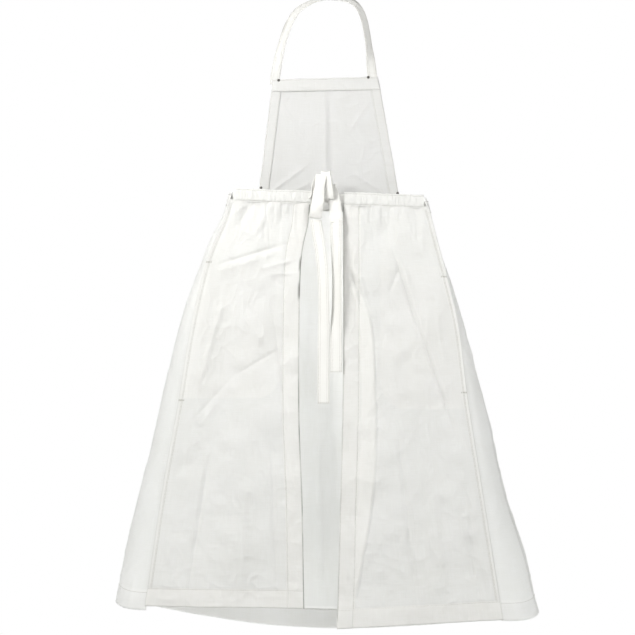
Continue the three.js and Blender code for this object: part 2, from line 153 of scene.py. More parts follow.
world = bpy.data.worlds.new("studio")
world.use_nodes = True
world.node_tree.nodes.clear()
sky = Wire(world.node_tree)
FILL = 0.50
seen = sky.node("ShaderNodeBackground", Color=(1, 1, 1, 1), Strength=1.0)
lighting = sky.node("ShaderNodeBackground", Color=(1, 1, 0.99, 1), Strength=FILL)
by_camera = sky.node("ShaderNodeLightPath")
both = sky.node("ShaderNodeMixShader", i0=by_camera, i1=lighting, i2=seen)
sky.node("ShaderNodeOutputWorld", Surface=both)
bpy.context.scene.world = world


def area_light(name, place, size, watts, colour):
    """A square soft box at a place, facing the middle of the apron."""
    lamp = bpy.data.objects.new(name, bpy.data.lights.new(name, "AREA"))
    lamp.data.size = size
    lamp.data.energy = watts
    lamp.data.color = colour
    lamp.location = place
    aim = np.array(VIEW_CENTRE) - np.array(place)
    lamp.rotation_euler = (
        math.atan2(math.hypot(aim[0], aim[1]), -aim[2]),
        0,
        math.atan2(aim[1], aim[0]) - math.pi / 2,
    )
    bpy.context.scene.collection.objects.link(lamp)


area_light("key", (-1.00, -1.15, 0.32), 0.55, 27, (1.0, 0.995, 0.98))
area_light("fill", (0.9, -1.5, 0.3), 1.2, 10, (1.0, 1.0, 1.0))
area_light("right_fill", (2.3, -1.2, -0.5), 0.8, 13, (1.0, 1.0, 1.0))
area_light("front_side", (0.1, 1.5, -0.15), 1.0, 44, (1.0, 1.0, 1.0))

FLOOR_DROP = 0.2
floor_z = cad_bounds[0][2] - FLOOR_DROP
floor_half = 1.9
floor_mesh = bpy.data.meshes.new("floor")
floor_corners = [(x, y, floor_z) for x, y in ((-1, -1), (1, -1), (1, 1), (-1, 1))]
floor_points = [(x * floor_half, y * floor_half, z) for x, y, z in floor_corners]
floor_mesh.from_pydata(floor_points, [], [(0, 1, 2, 3)])
floor = bpy.data.objects.new("floor", floor_mesh)
bpy.context.scene.collection.objects.link(floor)
floor_material, start = new_material("floor_paint")
floor_shader = start.node(
    "ShaderNodeBsdfPrincipled",
    Base_Color=(0.78, 0.78, 0.77, 1),
    Roughness=0.9,
)
floor.data.materials.append(finish_material(floor_material, floor_shader))

# ---------------------------------------------------------------- tie tails
# The two ends of the waist ties hang free below the knot. Each is a folded tape of white cloth,
# stitched along both edges and cut straight across at the bottom.


def ease(low, high, value):
    """0 at low, 1 at high and a smooth S between."""
    share = np.clip((value - low) / (high - low), 0, 1)
    return share * share * (3 - 2 * share)


def noise(x, y, cell, seed):
    """Smooth random height in -1 to 1: random values at the corners of square cells, eased between them."""
    table = np.random.default_rng(seed).uniform(-1, 1, (64, 64))
    gx, gy = np.broadcast_arrays(np.asarray(x) / cell, np.asarray(y) / cell)
    ix, iy = np.floor(gx).astype(int), np.floor(gy).astype(int)
    fx, fy = ease(0, 1, gx - ix), ease(0, 1, gy - iy)
    low = table[ix % 64, iy % 64] * (1 - fx) + table[(ix + 1) % 64, iy % 64] * fx
    high = table[ix % 64, (iy + 1) % 64] * (1 - fx) + table[(ix + 1) % 64, (iy + 1) % 64] * fx
    return low * (1 - fy) + high * fy


def unit(v):
    """Each vector divided by its own length."""
    return v / np.maximum(np.linalg.norm(v, axis=-1, keepdims=True), 1e-9)


def run_of(points):
    """Distance along a line of points to each of them."""
    return np.concatenate([[0], np.cumsum(np.linalg.norm(np.diff(points, axis=0), axis=1))])


def through(points, count):
    """Evenly spaced points on a smooth curve through the given ones: Catmull-Rom in each stretch."""
    points = np.asarray(points, float)
    padded = np.vstack([2 * points[0] - points[1], points, 2 * points[-1] - points[-2]])

    def at(where):
        """Points at places counted in given points: a cubic of the four given points around each."""
        i = np.minimum(where.astype(int), len(points) - 2)
        t = (where - i)[:, None]
        a, b, c, d = (padded[i + k] for k in range(4))
        square, cube = 2 * a - 5 * b + 4 * c - d, 3 * b - a - 3 * c + d
        return 0.5 * (2 * b + (c - a) * t + square * t**2 + cube * t**3)

    steps = np.linspace(0, len(points) - 1, 40 * len(points))
    run = run_of(at(steps))
    return at(np.interp(np.linspace(0, run[-1], count), run, steps))


def mesh_object(name, vertices, faces, measure, doubled=0.0, material=None, shade_and_soil=0.0):
    """A smooth mesh of four-sided faces. measure is each point's place on the flat cloth, kept as the UV
    map. doubled, 0 to 1, says where the cloth lies in more than one layer, and the last value, also 0 to 1,
    where the cloth is painted dark for shade and for soil."""
    mesh = bpy.data.meshes.new(name)
    mesh.vertices.add(len(vertices))
    mesh.vertices.foreach_set("co", vertices.astype(np.float32).ravel())
    mesh.loops.add(faces.size)
    mesh.loops.foreach_set("vertex_index", faces.astype(np.int32).ravel())
    mesh.polygons.add(len(faces))
    mesh.polygons.foreach_set("loop_start", np.arange(0, faces.size, 4, dtype=np.int32))
    mesh.update(calc_edges=True)
    flat = mesh.uv_layers.new(name="measure")
    flat.data.foreach_set("uv", measure[faces.ravel()].astype(np.float32).ravel())
    for kept, values in (("doubled", doubled), ("shade_and_soil", shade_and_soil)):
        layer = mesh.attributes.new(kept, "FLOAT", "POINT")
        layer.data.foreach_set("value", np.array(np.broadcast_to(values, len(vertices)), np.float32))
    mesh.polygons.foreach_set("use_smooth", np.ones(len(faces), bool))
    mesh.materials.append(material)
    made = bpy.data.objects.new(name, mesh)
    bpy.context.scene.collection.objects.link(made)
    return made


def shell(name, points, thickness, measure, material, doubled=0.0, closed=False, shade_and_soil=0.0):
    """A closed sheet: a grid of points moved half a thickness each way along its normals, and joined round
    its edge, where it thins to a rounded rim. closed joins the last column to the first, as in a tube."""
    rows, cols = points.shape[:2]
    ahead = np.roll(points, -1, 1) - np.roll(points, 1, 1) if closed else np.gradient(points, axis=1)
    normal = unit(np.cross(ahead, np.gradient(points, axis=0)))
    i, j = np.meshgrid(np.arange(rows), np.arange(cols), indexing="ij")
    to_rim = np.minimum(i, rows - 1 - i)
    if not closed:
        to_rim = np.minimum(to_rim, np.minimum(j, cols - 1 - j))
    half = np.broadcast_to(thickness, (rows, cols)) / 2 * np.where(to_rim == 0, 0.4, 1.0)
    shift = normal * half[..., None]
    vertices = np.concatenate([(points + shift).reshape(-1, 3), (points - shift).reshape(-1, 3)])
    index = np.arange(rows * cols).reshape(rows, cols)
    right = np.roll(index, -1, 1) if closed else index[:, 1:]
    left = index if closed else index[:, :-1]
    front = np.stack([left[:-1], right[:-1], right[1:], left[1:]], -1).reshape(-1, 4)
    back = front[:, ::-1] + rows * cols
    if closed:
        rims = [np.append(index[0], index[0, 0])[::-1], np.append(index[-1], index[-1, 0])]
    else:
        rims = [np.concatenate([index[0, ::-1], index[1:, 0], index[-1, 1:], index[-2::-1, -1]])]
    walls = [
        np.stack([rim[:-1], rim[1:], rim[1:] + rows * cols, rim[:-1] + rows * cols], -1) for rim in rims
    ]
    faces = np.concatenate([front, back, *walls])
    layers, shade_and_soil_tone = (np.tile(np.broadcast_to(kept, (rows, cols)).ravel(), 2) for kept in (doubled, shade_and_soil))
    measure = np.tile(measure.reshape(-1, 2), (2, 1))
    return mesh_object(name, vertices, faces, measure, layers, material, shade_and_soil_tone)


def cloth_material(name, single, double, sheer, weave=0.0011):
    """Plain-weave cloth. Two crossed sine waves make the weave and stretched noise makes its thicker yarns;
    both raise the surface and tint it. Doubled cloth is whiter, because less light passes through it."""
    made, start = new_material(name)
    flat = start.node("ShaderNodeUVMap", {"uv_map": "measure"})
    across = start.node("ShaderNodeSeparateXYZ", i0=flat)
    along = start.node("ShaderNodeSeparateXYZ", output=1, i0=flat)
    turn = 2 * math.pi / weave
    threads = (across * turn).sine() * (along * turn).sine()

    def yarns(stretch):
        """Noise that is fine across one set of yarns and long along it, as thick and thin lengths are."""
        place = start.node("ShaderNodeVectorMath", {"operation": "MULTIPLY"}, i0=flat, i1=stretch)
        flat_noise = {"noise_dimensions": "2D"}
        return start.node("ShaderNodeTexNoise", flat_noise, Vector=place, Scale=1.0, Detail=2.0)

    slubs = yarns((900.0, 24.0, 1.0)) + yarns((28.0, 800.0, 1.0))
    cloud = start.node("ShaderNodeTexNoise", {"noise_dimensions": "2D"}, Vector=flat, Scale=9.0, Detail=3.0)
    layers = start.node("ShaderNodeAttribute", {"attribute_name": "doubled"}, output=2)
    body = start.node("ShaderNodeMix", {"data_type": "RGBA"}, output=2, i0=layers, i6=single, i7=double)
    shade = (slubs - 1.0) * 0.9 + (cloud - 0.5) * 0.7 + threads * 0.12 + 0.7
    dull = (0.93, 0.93, 0.91, 1)
    darker = start.node(
        "ShaderNodeMix", {"data_type": "RGBA", "blend_type": "MULTIPLY"}, output=2, i0=1.0, i6=body, i7=dull
    )
    clean = start.node("ShaderNodeMix", {"data_type": "RGBA"}, output=2, i0=shade, i6=darker, i7=body)
    # The last attribute paints the cloth towards near black, as painted shade and as soil, wherever it is
    # set.
    shade_and_soil = start.node("ShaderNodeAttribute", {"attribute_name": "shade_and_soil"}, output=2)
    shade_and_soil_tone = (0.16, 0.16, 0.145, 1)
    colour = start.node("ShaderNodeMix", {"data_type": "RGBA"}, output=2, i0=shade_and_soil, i6=clean, i7=shade_and_soil_tone)
    raised = threads * 0.3 + slubs
    bump = start.node("ShaderNodeBump", Strength=0.5, Distance=0.0004, Height=raised)
    shader = start.node(
        "ShaderNodeBsdfPrincipled",
        Base_Color=colour,
        Roughness=1.0 - slubs * 0.12,
        Sheen_Weight=0.1,
        Sheen_Roughness=0.6,
        Specular_IOR_Level=0.2,
        Normal=bump,
    )
    glow = start.node("ShaderNodeBsdfTranslucent", Color=colour, Normal=bump)
    cloth = start.node("ShaderNodeMixShader", i0=sheer, i1=shader, i2=glow)
    return finish_material(made, cloth)


TAPE_WHITE = (0.88, 0.875, 0.855, 1)
tape_cloth = cloth_material("tape_cloth", TAPE_WHITE, TAPE_WHITE, 0.25, weave=0.0009)


def tape(name, centre, across, width, thickness, crown=0.0, cols=13, material=None, shade_and_soil=0.0):
    """A flat tape along a line of points, with its width along across at each. crown bows its middle up off
    its edges, and it is thinner along the two lines where it is stitched."""
    share = np.linspace(-0.5, 0.5, cols)
    width = np.broadcast_to(width, len(centre))[:, None]
    up = unit(np.cross(np.gradient(centre, axis=0), across))
    bow = np.broadcast_to(crown, len(centre))[:, None] * (0.25 - share**2)
    points = centre[:, None] + across[:, None] * (share * width)[..., None] + up[:, None] * bow[..., None]
    measure = np.stack(np.broadcast_arrays(share * width, run_of(centre)[:, None]), -1)
    sewn = 1 - 0.35 * np.exp(-(((np.abs(share) - 0.42) / 0.04) ** 2))
    thickness = thickness * np.broadcast_to(sewn, points.shape[:2])
    return shell(name, points, thickness, measure, material or tape_cloth, shade_and_soil=shade_and_soil)


# The thread is painted grey, much darker than the white cloth, as the shade along the stitched lines.
THREAD_PAINTED_GREY = (0.54, 0.535, 0.50, 1)
thread = cloth_material("thread", THREAD_PAINTED_GREY, THREAD_PAINTED_GREY, 0.0, weave=0.0005)


def stitches(name, path, normal, pitch=0.0027, radius=0.00045):
    """A row of stitches along a path: each a short lens of thread, on the cloth and sunk at its ends."""
    run = run_of(path)
    count = max(int(run[-1] / pitch), 1)
    at = (np.arange(count) + 0.5) * run[-1] / count
    centre = np.stack([np.interp(at, run, path[:, k]) for k in range(3)], -1)
    up = unit(np.stack([np.interp(at, run, normal[:, k]) for k in range(3)], -1))
    ahead = unit(np.stack([np.interp(at, run, np.gradient(path[:, k], run)) for k in range(3)], -1))
    side = unit(np.cross(up, ahead))
    slant = 0.12 * noise(at, 0, 0.01, 7)[:, None]
    ahead = unit(ahead + side * slant)
    side = np.cross(up, ahead)
    rings = []
    for reach, size, height in ((-0.42, 0.3, -0.5), (0.0, 1.0, 0.4), (0.42, 0.3, -0.5)):
        for angle in (0, 1, 2, 3):
            turn = angle * math.pi / 2
            out = side * math.cos(turn) + up * (0.8 * math.sin(turn))
            rings.append(centre + ahead * (reach * pitch) + out * (size * radius) + up * (height * radius))
    vertices = np.stack(rings, 1).reshape(-1, 3)
    one = [[3, 2, 1, 0], [8, 9, 10, 11]]
    for ring in (0, 4):
        one += [[ring + k, ring + (k + 1) % 4, ring + 4 + (k + 1) % 4, ring + 4 + k] for k in range(4)]
    faces = (np.array(one)[None] + 12 * np.arange(count)[:, None, None]).reshape(-1, 4)
    place = np.stack([np.zeros(len(vertices)), np.repeat(at, 12)], -1)
    return mesh_object(name, vertices, faces, place, 0.0, thread)


KNOT_LOW, KNOT_HIGH = (np.array(corner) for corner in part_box("tie_knot"))
KNOT = (KNOT_LOW + KNOT_HIGH) / 2
TAIL_TOP = KNOT_LOW[2] - 0.002
TAIL_WIDTH = 0.024
# Each tail's middle line: across, towards the viewer and down, from the knot's middle plane.
TAIL_ROUTES = {
    "left": [
        (-0.0228, 0, 0), (-0.0180, 0.0014, 0.03), (-0.0105, 0.0022, 0.08), (-0.0068, 0.0014, 0.14),
        (-0.0062, -0.0002, 0.21), (-0.0068, -0.0002, 0.27), (-0.0072, 0.0010, 0.33), (-0.0070, 0.002, 0.366),
    ],
    "right": [
        (0.0185, 0, 0), (0.0180, 0.0002, 0.03), (0.0188, -0.0006, 0.08), (0.0200, -0.0010, 0.13),
        (0.0190, -0.0010, 0.19), (0.0186, -0.0008, 0.24), (0.0182, 0.0002, 0.28), (0.0184, 0.0010, 0.304),
    ],
}
for side, route in TAIL_ROUTES.items():
    centre = through([(x, KNOT[1] - y, TAIL_TOP - down) for x, y, down in route], 120)
    down = run_of(centre)
    seed = 11 if side == "left" else 12
    twist = 0.10 * noise(down, 0.3, 0.07, seed) + (0.25 if side == "left" else -0.25) * ease(0.05, 0, down)
    twist = twist - (0.40 if side == "left" else 0.70) * ease(0.02, 0.07, down) * ease(0.25, 0.17, down)
    across = np.stack([np.cos(twist), np.sin(twist), np.zeros(len(down))], -1)
    curl = 0.0035 * noise(down, 0.7, 0.06, seed + 2) + 0.004 * ease(0.06, 0, down)
    tail = tape("tie_tail_" + side, centre, across, TAIL_WIDTH, 0.0016, crown=curl, cols=17)
    [tuple(point) for point in centre[::6]] + [tuple(centre[-1])]
    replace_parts(tail, "tie_tail_" + side)
    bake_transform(tail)
    facing = unit(np.cross(across, np.gradient(centre, axis=0)))
    for edge in (-1, 1):
        for inset in (0.0018, 0.0052):
            share = 0.5 - inset / TAIL_WIDTH
            bow = (curl * (0.25 - share**2))[:, None]
            line = centre + across * (edge * share * TAIL_WIDTH) - facing * bow
            row = stitches("tail_stitches", line - facing * 0.0008, -facing)
            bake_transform(row)

# ---------------------------------------------------------------- bib
# A single layer of light cloth, wider at the waist than at the top. A facing is turned down inside its
# top edge and a tape is sewn inside each side edge, all with two rows of stitches.

BIB_LOW, BIB_HIGH = (np.array(corner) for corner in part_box("bib_panel"))
BIB_HALF_TOP = 0.106
BIB_HALF_BOTTOM = float(BIB_HIGH[0])
BIB_WIDTHS = (0.212, 0.282)
BIB_TAPE = 0.020
BIB_FACING = 0.026
SINGLE_WHITE = (0.800, 0.802, 0.792, 1)
DOUBLE_WHITE = (0.860, 0.857, 0.840, 1)
skirt_cloth = cloth_material("skirt_cloth", SINGLE_WHITE, DOUBLE_WHITE, 0.27)
# The front's cloth is painted lighter than the back panels' same cloth, as light reaching it inside the
# opening.
lit_front_cloth = cloth_material("lit_front_cloth", (0.845, 0.85, 0.845, 1), (0.955, 0.957, 0.955, 1), 0.5)
facing_cloth = cloth_material("facing_cloth", (0.84, 0.84, 0.825, 1), DOUBLE_WHITE, 0.25, weave=0.0010)


def lerp(low, high, share):
    """The value that lies a share of the way from low to high."""
    return low + (high - low) * share


def bib_width(down):
    """The bib's cut width, which grows evenly with the share of the way down."""
    return lerp(BIB_WIDTHS[0], BIB_WIDTHS[1], down)


def ridge(x, z, start, end, width, height):
    """A fold: a crest along a line from start to end, that falls off to each side over width and dies away
    towards its ends."""
    line = np.array(end, float) - start
    length = np.hypot(*line)
    dx, dz = x - start[0], z - start[1]
    share = (dx * line[0] + dz * line[1]) / length**2
    off = (dx * line[1] - dz * line[0]) / length
    return height * ease(-0.05, 0.3, share) * ease(1.05, 0.65, share) / (1 + (off / width) ** 2) ** 1.5


def folded(depth, x, z, folds):
    """Adds folds, each (start, end, width, height), to a depth. A negative height is a hollow."""
    for start, end, width, height in folds:
        depth = depth + ridge(x, z, start, end, width, height)
    return depth


def crumple(x, z, cell, seed):
    """Small sharp wrinkles: crests where wandering noise crosses zero, stronger in some places."""
    bend = cell * noise(x, z, 2.2 * cell, seed + 1)
    crest = 1 - np.abs(noise(x + bend, z - bend, cell, seed))
    return crest**4 * (0.6 + 0.4 * noise(x, z, 4 * cell, seed + 2))


def lifted(surface, u, v, lift):
    """Points at u and v on a surface of two shares, moved along its normal."""
    u, v = np.broadcast_arrays(np.asarray(u, float), np.asarray(v, float))
    step = 2e-4
    across = surface(u + step, v) - surface(u - step, v)
    down = surface(u, v + step) - surface(u, v - step)
    return surface(u, v) + unit(np.cross(across, down)) * np.broadcast_to(lift, u.shape)[..., None]


def sewn_line(name, surface, u, v, lift):
    """Stitches along the line of shares u and v, lifted off a surface."""
    u, v = np.broadcast_arrays(np.asarray(u, float), np.asarray(v, float))
    path = lifted(surface, u, v, lift)
    return stitches(name, path, path - lifted(surface, u, v, 0.0))


def patch(name, surface, u, v, lift, thickness, size, material, doubled=0.0, shade_and_soil=0.0):
    """A sheet over the shares u across and v down of a surface, lifted off it. size is the cloth's width
    and height in metres, for its weave."""
    v = np.asarray(v, float)
    if v.ndim == 1:
        v = v[:, None]
    u, v = np.broadcast_arrays(np.asarray(u, float), v)
    measure = np.stack([u * size[0], v * size[1]], -1)
    return shell(name, lifted(surface, u, v, lift), thickness, measure, material, doubled, shade_and_soil=shade_and_soil)


def bib_surface(u, v):
    """The bib's middle layer: half widths by height, with a crease down the middle, slanting folds above
    the left waist and small wrinkles."""
    half = lerp(BIB_HALF_TOP, BIB_HALF_BOTTOM, v)
    side = 2 * u - 1
    x = side * half + lerp(-0.003, 0.004, v) + 0.0008 * noise(v, 0.5, 0.09, 31) * np.abs(side)
    z = lerp(BIB_HIGH[2] + 0.0024, BIB_LOW[2], v) + side * lerp(0.003, -0.005, v)
    depth = 0.0012 * noise(x, z, 0.075, 32) + 0.0005 * noise(x, z, 0.025, 33)
    depth = depth + 0.0012 * crumple(x, z, 0.026, 34) + 0.0006 * crumple(x, z, 0.010, 35)
    depth = depth + ridge(x, z, (-0.006, -0.155), (0.0, -0.40), 0.007, 0.0036) * (0.5 + 0.5 * v)
    depth = folded(depth, x, z, [
        ((0.006, -0.18), (0.010, -0.40), 0.011, -0.0020),
        ((-0.125, -0.395), (-0.035, -0.330), 0.005, 0.0024),
        ((-0.095, -0.398), (-0.020, -0.362), 0.005, 0.0022),
        ((0.125, -0.395), (0.045, -0.345), 0.005, 0.0022),
        ((-0.10, -0.205), (-0.03, -0.30), 0.006, 0.0016), ((0.09, -0.20), (0.035, -0.28), 0.006, 0.0014),
    ])
    return np.stack([x, -depth * ease(0, 0.08, v) * ease(1.02, 0.9, np.abs(side)), z], -1)


def on_bib(made, *nodes, slot="cloth"):
    """Hides the CAD nodes that a piece replaces and bakes its place into its mesh."""
    if nodes:
        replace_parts(made, *nodes)
    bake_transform(made)
    return made


BIB_TALL = float(BIB_HIGH[2] - BIB_LOW[2])
across_bib, down_bib = np.linspace(0, 1, 141), np.linspace(0, 1.015, 118)
in_tape = np.abs(2 * across_bib - 1)[None] > 1 - 2 * BIB_TAPE / bib_width(down_bib[:, None])
in_facing = down_bib[:, None] < BIB_FACING / BIB_TALL
# The bib and its tapes are painted greyer than the skirt's same white cloth, as shade on the thin single
# layer.
shaded_bib_cloth = cloth_material("shaded_bib_cloth", (0.665, 0.665, 0.66, 1), (0.735, 0.735, 0.725, 1), 0.22)
BIB_EDGE_SHADED = (0.705, 0.705, 0.695, 1)
shaded_bib_facing_cloth = cloth_material("shaded_bib_facing_cloth", BIB_EDGE_SHADED, BIB_EDGE_SHADED, 0.2)
bib = patch(
    "bib_panel", bib_surface, across_bib, down_bib, 0.0, 0.0007, (0.282, BIB_TALL), shaded_bib_cloth,
    doubled=np.where(in_tape | in_facing, 0.8, 0.0),
)
on_bib(bib, "bib_panel")

down = np.linspace(0.006, 1.0, 118)
for side, outer in (("left", 0.0), ("right", 1.0)):
    inward = BIB_TAPE / bib_width(down)[:, None]
    share = np.linspace(0.01, 1, 12)
    u = share * inward if outer == 0 else 1 - inward + (share - 0.01) * inward
    strip = patch(
        "bib_tape_" + side, bib_surface, u, down, -0.0011, 0.0008, (0.282, BIB_TALL), shaded_bib_facing_cloth
    )
    on_bib(strip, "bib_tape_" + side, slot="tape")
    for inset in (0.002, 0.0175):
        line = inset / bib_width(down)
        row = sewn_line("bib_tape_stitches", bib_surface, line if outer == 0 else 1 - line, down, -0.0016)
        on_bib(row, slot="tape")

facing_rows = np.linspace(0.006, BIB_FACING / BIB_TALL, 14)
top_facing = patch(
    "bib_top_facing", bib_surface, np.linspace(0.006, 0.994, 120), facing_rows, -0.0019, 0.0007,
    (0.212, BIB_TALL), shaded_bib_facing_cloth,
)
on_bib(top_facing, "bib_top_facing", slot="doubled_cloth")
for v in (0.014, 0.102):
    on_bib(sewn_line("bib_top_stitches", bib_surface, np.linspace(0.01, 0.99, 80), v, -0.0023), slot="tape")

# ---------------------------------------------------------------- neck loop
# One stitched tape from corner to corner of the bib. It lies flat at its feet, where it laps over the
# bib, and turns partly on edge over the neck.

NECK_ROUTE = [
    (-0.1050, -0.0003, -0.171), (-0.1030, -0.0003, -0.150), (-0.0925, 0, -0.098), (-0.078, 0, -0.053),
    (-0.060, 0, -0.0240), (-0.038, 0, -0.0085), (-0.014, 0, 0.0000), (0.014, 0, 0.0016), (0.041, 0, -0.001),
    (0.061, 0, -0.013), (0.075, 0, -0.043), (0.0845, 0, -0.096), (0.0905, -0.0003, -0.150),
    (0.0920, -0.0003, -0.167),
]
loop = through(NECK_ROUTE, 240)
ahead = unit(np.gradient(loop, axis=0))
outward = unit(np.cross(ahead, np.array([0.0, 1.0, 0.0])))
share = np.linspace(0, 1, len(loop))
turn = math.radians(38) * ease(0.03, 0.20, share) + math.radians(28) * ease(0.25, 0.48, share)
turn = turn * ease(0.99, 0.82, share) - math.radians(20) * ease(0.48, 0.70, share) * ease(0.99, 0.82, share)
turn = turn + 0.10 * noise(share, 0.2, 0.12, 41)
across = unit(outward * np.cos(turn)[:, None] + np.array([0.0, 1.0, 0.0]) * np.sin(turn)[:, None])
strap_crown = 0.0008 * noise(share, 0.4, 0.08, 42)
# The strap is the same white tape as the tails, painted greyer as shade on it.
STRAP_PAINTED_GREY = (0.72, 0.717, 0.70, 1)
shaded_strap_cloth = cloth_material("shaded_strap_cloth", STRAP_PAINTED_GREY, STRAP_PAINTED_GREY, 0.15, weave=0.0009)
foot = ease(0.055, 0.02, np.minimum(share, 1 - share))
strap_thickness = (0.0017 - 0.0010 * foot)[:, None]
outer = ease(0.05, 0.35, np.linspace(-0.5, 0.5, 15))[None]
# The strap's outer edge is painted dark near the top right, as shade where the strap turns on edge, and a
# little darker higher up on the left.
painted_strap_shade = 0.85 * np.exp(-(((share - 0.585) / 0.055) ** 4)) + 0.30 * np.exp(-(((share - 0.26) / 0.03) ** 2))
neck = tape(
    "neck_strap", loop, across, 0.0195, strap_thickness, crown=strap_crown, cols=15, material=shaded_strap_cloth,
    shade_and_soil=painted_strap_shade[:, None] * outer,
)
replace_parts(neck, "neck_strap")


def on_neck(made):
    """Bakes a piece's place into its mesh."""
    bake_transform(made)


on_neck(neck)
strap_face = unit(np.cross(ahead, across))
for edge in (-1, 1):
    for inset in (0.0018, 0.0050):
        for face in (-1, 1):
            line = loop + across * (edge * (0.00975 - inset)) + strap_face * (face * strap_thickness / 2)
            line = line + strap_face * (strap_crown * (0.25 - (0.5 - inset / 0.0195) ** 2))[:, None]
            on_neck(stitches("neck_stitches", line, strap_face * face))

# ---------------------------------------------------------------- rivets
# A small dark rivet through each corner of the bib: a domed cap with a rolled edge on the inside and a
# ring washer round the post's peened end on the front.


def metal_material(name, colour, roughness):
    """Darkened metal, paler and scratched in fine random patches."""
    made, start = new_material(name)
    place = start.node("ShaderNodeTexCoord", output=3)
    grain = start.node("ShaderNodeTexNoise", Vector=place, Scale=900.0, Detail=3.0)
    pale = tuple(min(1.0, 2.0 * c) for c in colour[:3]) + (1,)
    mixed = start.node("ShaderNodeMix", {"data_type": "RGBA"}, output=2, i0=grain, i6=colour, i7=pale)
    bump = start.node("ShaderNodeBump", Strength=0.3, Distance=0.0001, Height=grain)
    shader = start.node(
        "ShaderNodeBsdfPrincipled",
        Base_Color=mixed,
        Metallic=0.9,
        Roughness=grain * 0.3 + roughness,
        Normal=bump,
    )
    return finish_material(made, shader)


rivet_metal = metal_material("rivet_metal", (0.075, 0.073, 0.068, 1), 0.28)


def turned(name, centre, profile, sides=32):
    """A turned piece about the Y axis through centre: profile is its (radius, y) outline, from the axis back
    to the axis."""
    angle = np.linspace(0, 2 * math.pi, sides, endpoint=False)
    radius, y = (np.array(profile)[:, k][:, None] for k in (0, 1))
    radius = np.maximum(radius, 2e-6)
    ring = np.stack(np.broadcast_arrays(radius * np.cos(angle), y, radius * np.sin(angle)), -1)
    index = np.arange(ring.shape[0] * sides).reshape(-1, sides)
    nxt = np.roll(index, -1, 1)
    faces = np.stack([index[:-1], nxt[:-1], nxt[1:], index[1:]], -1).reshape(-1, 4)
    vertices = ring.reshape(-1, 3) + centre
    made = mesh_object(name, vertices, faces, vertices[:, ::2] - centre[::2], 0.0, rivet_metal)
    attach(made, "bib")
    return made


RIVETS = {
    "bib_top_left": (-0.0970, -0.1625), "bib_top_right": (0.0828, -0.1565),
    "bib_base_left": (-0.1325, -0.3785), "bib_base_right": (0.1420, -0.3895),
}
MM = 0.001
for place, (x, z) in RIVETS.items():
    stack = 0.0026 if "top" in place else 0.0022
    cap = [(0, -stack - 1.3 * MM), (1.2 * MM, -stack - 1.22 * MM), (2.2 * MM, -stack - 0.85 * MM),
           (2.7 * MM, -stack - 0.3 * MM), (2.75 * MM, -stack), (1.2 * MM, -stack + 0.1 * MM),
           (1.2 * MM, 0.0012), (0, 0.0012)]
    washer = [(0, 0.0005), (2.6 * MM, 0.0005), (2.65 * MM, 0.0008), (2.2 * MM, 0.0015), (1.5 * MM, 0.0014),
              (1.4 * MM, 0.0019), (0.8 * MM, 0.0021), (0, 0.0021)]
    centre = np.array([x, 0.0, z])
    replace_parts(turned("rivet_cap_" + place, centre, cap), "rivet_cap_" + place)
    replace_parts(turned("rivet_washer_" + place, centre, washer), "rivet_washer_" + place)

# ---------------------------------------------------------------- front of the skirt
# One wide panel hangs from the waist, curves round both sides and ends at the side seams on the back.
# It has a narrow band inside and outside at the waist and a hem turned up inside.

WAIST = -0.388
DROP = 0.826


def skirt_share(z):
    """How far down the skirt a height lies: 0 at the casings' top and 1 at the side hem."""
    return (WAIST - z) / DROP


def side_line(points):
    """A smooth line down one side, as x by height, through (height, x) points."""
    fine = through(points, 300)
    return lambda z: np.interp(-z, -fine[:, 0], fine[:, 1])


# The outer edge of the apron and its side seams, by height.
OUTLINE = {
    "left": side_line([
        (-0.370, -0.188), (-0.438, -0.206), (-0.490, -0.233), (-0.540, -0.252), (-0.610, -0.279),
        (-0.684, -0.301), (-0.838, -0.338), (-1.032, -0.385), (-1.230, -0.431),
    ]),
    "right": side_line([
        (-0.370, 0.193), (-0.444, 0.212), (-0.514, 0.231), (-0.572, 0.252), (-0.684, 0.284), (-0.822, 0.321),
        (-0.918, 0.341), (-1.008, 0.364), (-1.130, 0.402), (-1.240, 0.434),
    ]),
}
SEAM = {
    "left": side_line([
        (-0.370, -0.184), (-0.440, -0.201), (-0.534, -0.238), (-0.660, -0.268), (-0.820, -0.295),
        (-0.996, -0.327), (-1.240, -0.363),
    ]),
    "right": side_line([
        (-0.370, 0.188), (-0.470, 0.214), (-0.554, 0.236), (-0.660, 0.260), (-0.804, 0.278), (-1.000, 0.309),
        (-1.260, 0.350),
    ]),
}


def side_depth(z):
    """Half the skirt's depth, front to back, where it turns round its sides."""
    return lerp(0.022, 0.075, skirt_share(z))


def middle_y(z):
    """The middle of the skirt's depth, which moves evenly forwards from waist to hem."""
    return lerp(-0.022, 0.017, skirt_share(z))


def back_y(z):
    """The skirt's back: half its depth behind the middle."""
    return middle_y(z) - side_depth(z)


def lean(x, z):
    """The waist, and less so the hem, slopes down towards the right."""
    return -x * lerp(0.037, 0.021, skirt_share(z))


SIDE_SHARE = 0.24
FRONT_TOP = -0.392


def wrap(u, z):
    """x and y of the wrapped front at a height: u runs from the left seam, half an ellipse round the left
    side, across the front and round the right side to the right seam."""
    end = np.minimum(u, 1 - u)
    left = u < 0.5
    gape = 0.08 * ease(-0.545, -0.60, z) * ease(-0.785, -0.735, z)
    turn = lerp(gape, math.pi, np.clip(end / SIDE_SHARE, -0.02, 1))
    seam = np.where(left, SEAM["left"](z), SEAM["right"](z))
    reach = np.where(left, OUTLINE["left"](z), OUTLINE["right"](z)) - seam
    across = np.clip((u - SIDE_SHARE) / (1 - 2 * SIDE_SHARE), 0, 1)
    around = end < SIDE_SHARE
    x = np.where(around, seam + reach * np.sin(turn), lerp(SEAM["left"](z), SEAM["right"](z), across))
    y = middle_y(z) - side_depth(z) * np.where(around, np.cos(turn), -1.0)
    return x, y


